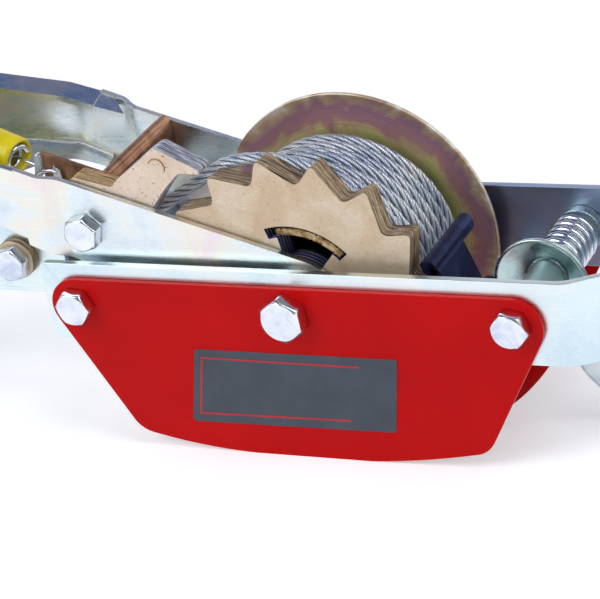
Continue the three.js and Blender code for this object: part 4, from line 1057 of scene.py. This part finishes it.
def stranded(line, start=0.0):
    # strands wound right-handed round the line: each is a tube on a helix about it
    along = unit(np.gradient(line, axis=0))
    side = unit(np.array([0, 1.0, 0]) - along * along[:, 1:2])
    up = np.cross(along, side)
    distance = distances(line)
    strand = rope["radius"] / 3
    shells, uv = [], []
    rows, sides = len(line), rope["sides"]
    for k in range(rope["strands"]):
        phase = 2 * np.pi * ((distance + start) / rope["lay"] + k / rope["strands"])
        outward = side * np.cos(phase)[:, None] + up * np.sin(phase)[:, None]
        tube = tubeAlong(line + 2 * strand * outward, strand, sides, outward)
        shells.append((tube.reshape(-1, 3), closedGrid(rows, sides)))
        across = np.broadcast_to(np.arange(sides) / sides, (rows, sides))
        uv.append(np.stack([across, np.broadcast_to(distance[:, None], (rows, sides))], -1).reshape(-1, 2))
    return *together(shells), np.vstack(uv), distance[-1]


def wireRope():
    # Galvanised wire strand: fine wires laid round each strand, dull grey-blue zinc with
    # painted shade in the grooves between the wires. The wires are drawn a little coarse, to show.
    material, tree, shader = newMaterial("galvanisedWireRope", {"Metallic": 0.75, "Roughness": 0.34})
    still = inMillimetres(tree)
    lay = addNode(tree, "UVMap", {"uv_map": "lay"})
    split = addNode(tree, "SeparateXYZ", {}, {"Vector": lay})
    around = addNode(tree, "Math", {"operation": "MULTIPLY", 1: wires["count"]}, {0: split.outputs["X"]})
    along = addNode(tree, "Math", {"operation": "MULTIPLY_ADD", 1: -1 / wires["pitch"]},
                    {0: split.outputs["Y"], 2: around})
    wave = addNode(tree, "Math", {"operation": "MULTIPLY", 1: 2 * math.pi}, {0: along})
    wire = addNode(tree, "Math", {"operation": "SINE"}, {0: wave})
    height = addNode(tree, "MapRange", span(-1, 1), {"Value": wire})
    cloud = addNode(tree, "TexNoise", {"Scale": 1 / 9, "Detail": 4, "Roughness": 0.6}, {"Vector": still})
    tint = addNode(tree, "ValToRGB", {"stops": wires["tints"]}, {"Fac": cloud})
    # painted shade between the wires
    groove = addNode(tree, "ValToRGB", {"stops": wires["groove"]}, {"Fac": height})
    fine = addNode(tree, "Mix", multiplied, {mixFirst: tint, mixSecond: groove})
    # each strand is painted darker towards its side that faces into the rope: painted shade between the strands
    turn = addNode(tree, "Math", {"operation": "MULTIPLY", 1: 2 * math.pi}, {0: split.outputs["X"]})
    outward = addNode(tree, "Math", {"operation": "COSINE"}, {0: turn})
    bare = addNode(tree, "MapRange", span(-0.6, 0.95), {"Value": outward})
    paintedStrandShade = addNode(tree, "ValToRGB", {"stops": wires["paintedStrandShade"]}, {"Fac": bare})
    colour = addNode(tree, "Mix", multiplied, {mixFirst: fine, mixSecond: paintedStrandShade})
    bump = addNode(tree, "Bump", {"Strength": 0.7, "Distance": 0.00012}, {"Height": height})
    join(tree, shader, {"Base Color": colour, "Normal": bump})
    return material


def iridescentFlange():
    # Yellow chromate on a spun disc: bands of gold, rose and olive that follow the radius,
    # broken by clouds, over the fine rings that spinning leaves.
    material, tree, shader = newMaterial("yellowChromatedSpunDisc", {"Metallic": 0.5, "Roughness": 0.36})
    still = inMillimetres(tree)
    split = addNode(tree, "SeparateXYZ", {}, {"Vector": still})
    flat = addNode(tree, "CombineXYZ", {}, {"X": split.outputs["X"], "Y": split.outputs["Z"]})
    radius = addNode(tree, "VectorMath", {"operation": "LENGTH"}, {0: flat})
    cloud = addNode(tree, "TexNoise", {"Scale": 1 / 26, "Detail": 4, "Roughness": 0.6, "Distortion": 1.2},
                    {"Vector": still})
    shift = addNode(tree, "MapRange", span(0.3, 0.7, -5, 5), {"Value": cloud})
    moved = addNode(tree, "Math", {"operation": "ADD"}, {0: radius, 1: shift})
    share = addNode(tree, "MapRange", span(34, 60), {"Value": moved})
    bands = addNode(tree, "ValToRGB", {"stops": [
        (0.0, "#a8ae66"), (0.2, "#c4c87c"), (0.36, "#d2c288"), (0.5, "#bb8a86"), (0.68, "#ad8092"),
        (0.82, "#cfb18c"), (0.93, "#f5eedd")]}, {"Fac": share})
    spun = addNode(tree, "TexNoise", {"noise_dimensions": "1D", "Scale": 1.6, "Detail": 4}, {"W": radius})
    line = addNode(tree, "ValToRGB", {"stops": [(0.3, 0.84), (0.65, 1.0)]}, {"Fac": spun})
    colour = addNode(tree, "Mix", multiplied, {mixFirst: bands, mixSecond: line})
    bump = addNode(tree, "Bump", {"Strength": 0.25, "Distance": 0.00008}, {"Height": spun})
    join(tree, shader, {"Base Color": colour, "Normal": bump})
    return material


ropeSteel = wireRope()
flangeZinc = iridescentFlange()


def makeRope():
    points, faces, uv, length = stranded(woundLine())
    wound = meshPiece("rope_wound_strands", points, faces, "drum", "wire_rope", ropeSteel, uv=uv, smooth=0)
    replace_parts(wound, "rope_outer_layer")
    points, faces, uv, runLength = stranded(runLine(), length)
    run = meshPiece("rope_run_strands", points, faces, "frame", "wire_rope", ropeSteel, uv=uv, smooth=0)
    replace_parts(run, "rope_run")
    print("rope wound", round(length), "mm, run", round(runLength), "mm")


makeRope()
makeTurned()
print("rope and turned pieces made")


# ---- springs ----
springs = {
    "holding": {"wire": 1.3, "coil": 8.1, "pitch": 4.7, "turns": 6.1, "from": 190, "y": 0.3,
                # the tail that leaves the first coil: x, y from the first coil, z
                "tail": [(71.9, -2, -9), (76.4, -1.4, -5.6)]},
    "release": {"wire": 0.95, "coil": 4.6, "pitch": 3.9, "turns": 6, "from": 0, "y": -0.2},
}
slide = {"mouth": (-118.6, -14, 47.6), "along": (-1, 0.22, 0.25), "outer": 8, "bore": 6, "length": 42}


def coilLine(spring, x=0.0, z=0.0):
    angle = np.arange(0, spring["turns"] * 360 + 1, 9)
    wave = np.radians(angle + spring["from"])
    y = spring["y"] + spring["pitch"] * angle / 360
    return np.stack([x + spring["coil"] * np.cos(wave), y, z + spring["coil"] * np.sin(wave)], -1)


def alongSlide(points):
    # from lying along Y with its mouth at 0 to lying along the handle
    aim = Vector(slide["along"]).normalized()
    turn = np.array(Vector((0, 1, 0)).rotation_difference(aim).to_matrix())
    return np.asarray(points) @ turn.T + np.array(slide["mouth"])


def makeSprings():
    spring = springs["holding"]
    coil = coilLine(spring, *centre(*millimetres("spring_cup")))
    ends = [(x, spring["y"] + y, z) for x, y, z in spring["tail"]]
    tail = smoothLine([*ends, coil[0], coil[3]], 1.0)
    wound = closedTube(np.vstack([tail[:-4], coil[1:]]), spring["wire"], 14)
    piece = meshPiece("holding_pawl_spring_fine", *wound, "frame", "zinc_plate", boltZinc, smooth=0)
    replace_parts(piece, "holding_pawl_spring")
    spring = springs["release"]
    points, faces = closedTube(coilLine(spring), spring["wire"], 12)
    points = alongSlide(points)
    piece = meshPiece("release_spring_fine", points, faces, "handle", "zinc_plate", boltZinc, smooth=0)
    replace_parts(piece, "release_spring")
    o, b, n = slide["outer"], slide["bore"], slide["length"]
    profile = [(b, 1.0), (b + 0.5, 0.2), (b + 1.0, 0), (o - 0.7, 0.1), (o - 0.1, 0.8), (o, 1.6), (o, n - 1.2),
               (o - 0.4, n - 0.3), (o - 1.0, n), (b + 0.4, n), (b, n - 0.4)]
    points, faces = revolve(profile, 0, 0, 96)
    piece = meshPiece("release_slider_fine", alongSlide(points), faces, "release_slider", "yellow_plastic",
                      yellowPlastic, smooth=0)
    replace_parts(piece, "release_slider")


makeSprings()
print("springs made")


# ---- stage ----
studio = {
    "floor": 0.9, "lift": 0.4, "far": 0.95,      # paper's grey, and how white it reads near and far
    "reach": (0.42, 1.2),                        # metres from the object over which that changes
    "walls": [(0.0, 1.0), (0.44, 1.0), (0.58, "#5a648c"), (1.0, "#5a648c")],
    "aside": (0.62, -0.78, 0), "dim": (0.35, 0.75, 1.0, 0.3),
    # name: place in metres, size, watts
    "lamps": {"key": ((-0.9, -1.2, 1.5), 1.2, 15.5), "top": ((0.9, -0.2, 1.6), 1.0, 9.5),
              "side": ((1.5, -0.3, 0.9), 0.8, 3)},
    "aim": (0, 0, 0.06),
}


def makeFloor():
    # a sheet of pale paper that keeps the shadow and reads white to the eye and in mirrors
    bpy.ops.mesh.primitive_circle_add(vertices=96, radius=4, fill_type="NGON")
    floor = bpy.context.object
    floor.name = "floor"
    material, tree, shader = newMaterial("palePaperFloor", {
        "Base Color": [studio["floor"]] * 3 + [1], "Roughness": 0.9, "Emission Color": (1, 1, 1, 1)})
    ray = addNode(tree, "LightPath")
    mirrored = addNode(tree, "Math", {"operation": "MAXIMUM"},
                       {0: ray.outputs["Is Glossy Ray"], 1: ray.outputs["Is Transmission Ray"]})
    seen = addNode(tree, "Math", {"operation": "MAXIMUM"}, {0: ray.outputs["Is Camera Ray"], 1: mirrored})
    place = addNode(tree, "TexCoord")
    # far off, where the lamps don't reach, it is lifted more
    reach = addNode(tree, "VectorMath", {"operation": "LENGTH"}, {0: place.outputs["Object"]})
    away = addNode(tree, "MapRange", span(*studio["reach"], studio["lift"], studio["far"]), {"Value": reach})
    glow = addNode(tree, "Math", {"operation": "MULTIPLY"}, {0: away, 1: seen})
    join(tree, shader, {"Emission Strength": glow})
    floor.data.materials.append(material)


def makeWorld():
    # a light tent: white walls up to a dim ceiling, and a dim wall at the right in front
    world = bpy.data.worlds.new("lightTent")
    world.use_nodes = True
    tree = world.node_tree
    sky = addNode(tree, "TexCoord").outputs["Generated"]
    split = addNode(tree, "SeparateXYZ", {}, {"Vector": sky})
    walls = addNode(tree, "ValToRGB", {"stops": studio["walls"]}, {"Fac": split.outputs["Z"]})
    rightward = addNode(tree, "VectorMath", {"operation": "DOT_PRODUCT", 1: studio["aside"]}, {0: sky})
    front = addNode(tree, "MapRange", span(*studio["dim"]), {"Value": rightward})
    light = addNode(tree, "VectorMath", {"operation": "SCALE"}, {0: walls, "Scale": front})
    join(tree, tree.nodes["Background"], {"Color": light})
    bpy.context.scene.world = world


def makeStage():
    makeFloor()
    makeWorld()
    for name, (place, size, power) in studio["lamps"].items():
        data = bpy.data.lights.new(name, "AREA")
        data.energy, data.size = power, size
        lamp = bpy.data.objects.new(name, data)
        lamp.location = Vector(place)
        lamp.rotation_mode = "QUATERNION"
        lamp.rotation_quaternion = (Vector(studio["aim"]) - lamp.location).to_track_quat("-Z", "Y")
        bpy.context.scene.collection.objects.link(lamp)
    bpy.context.scene.view_settings.view_transform = "Standard"


makeStage()
print("stage set")
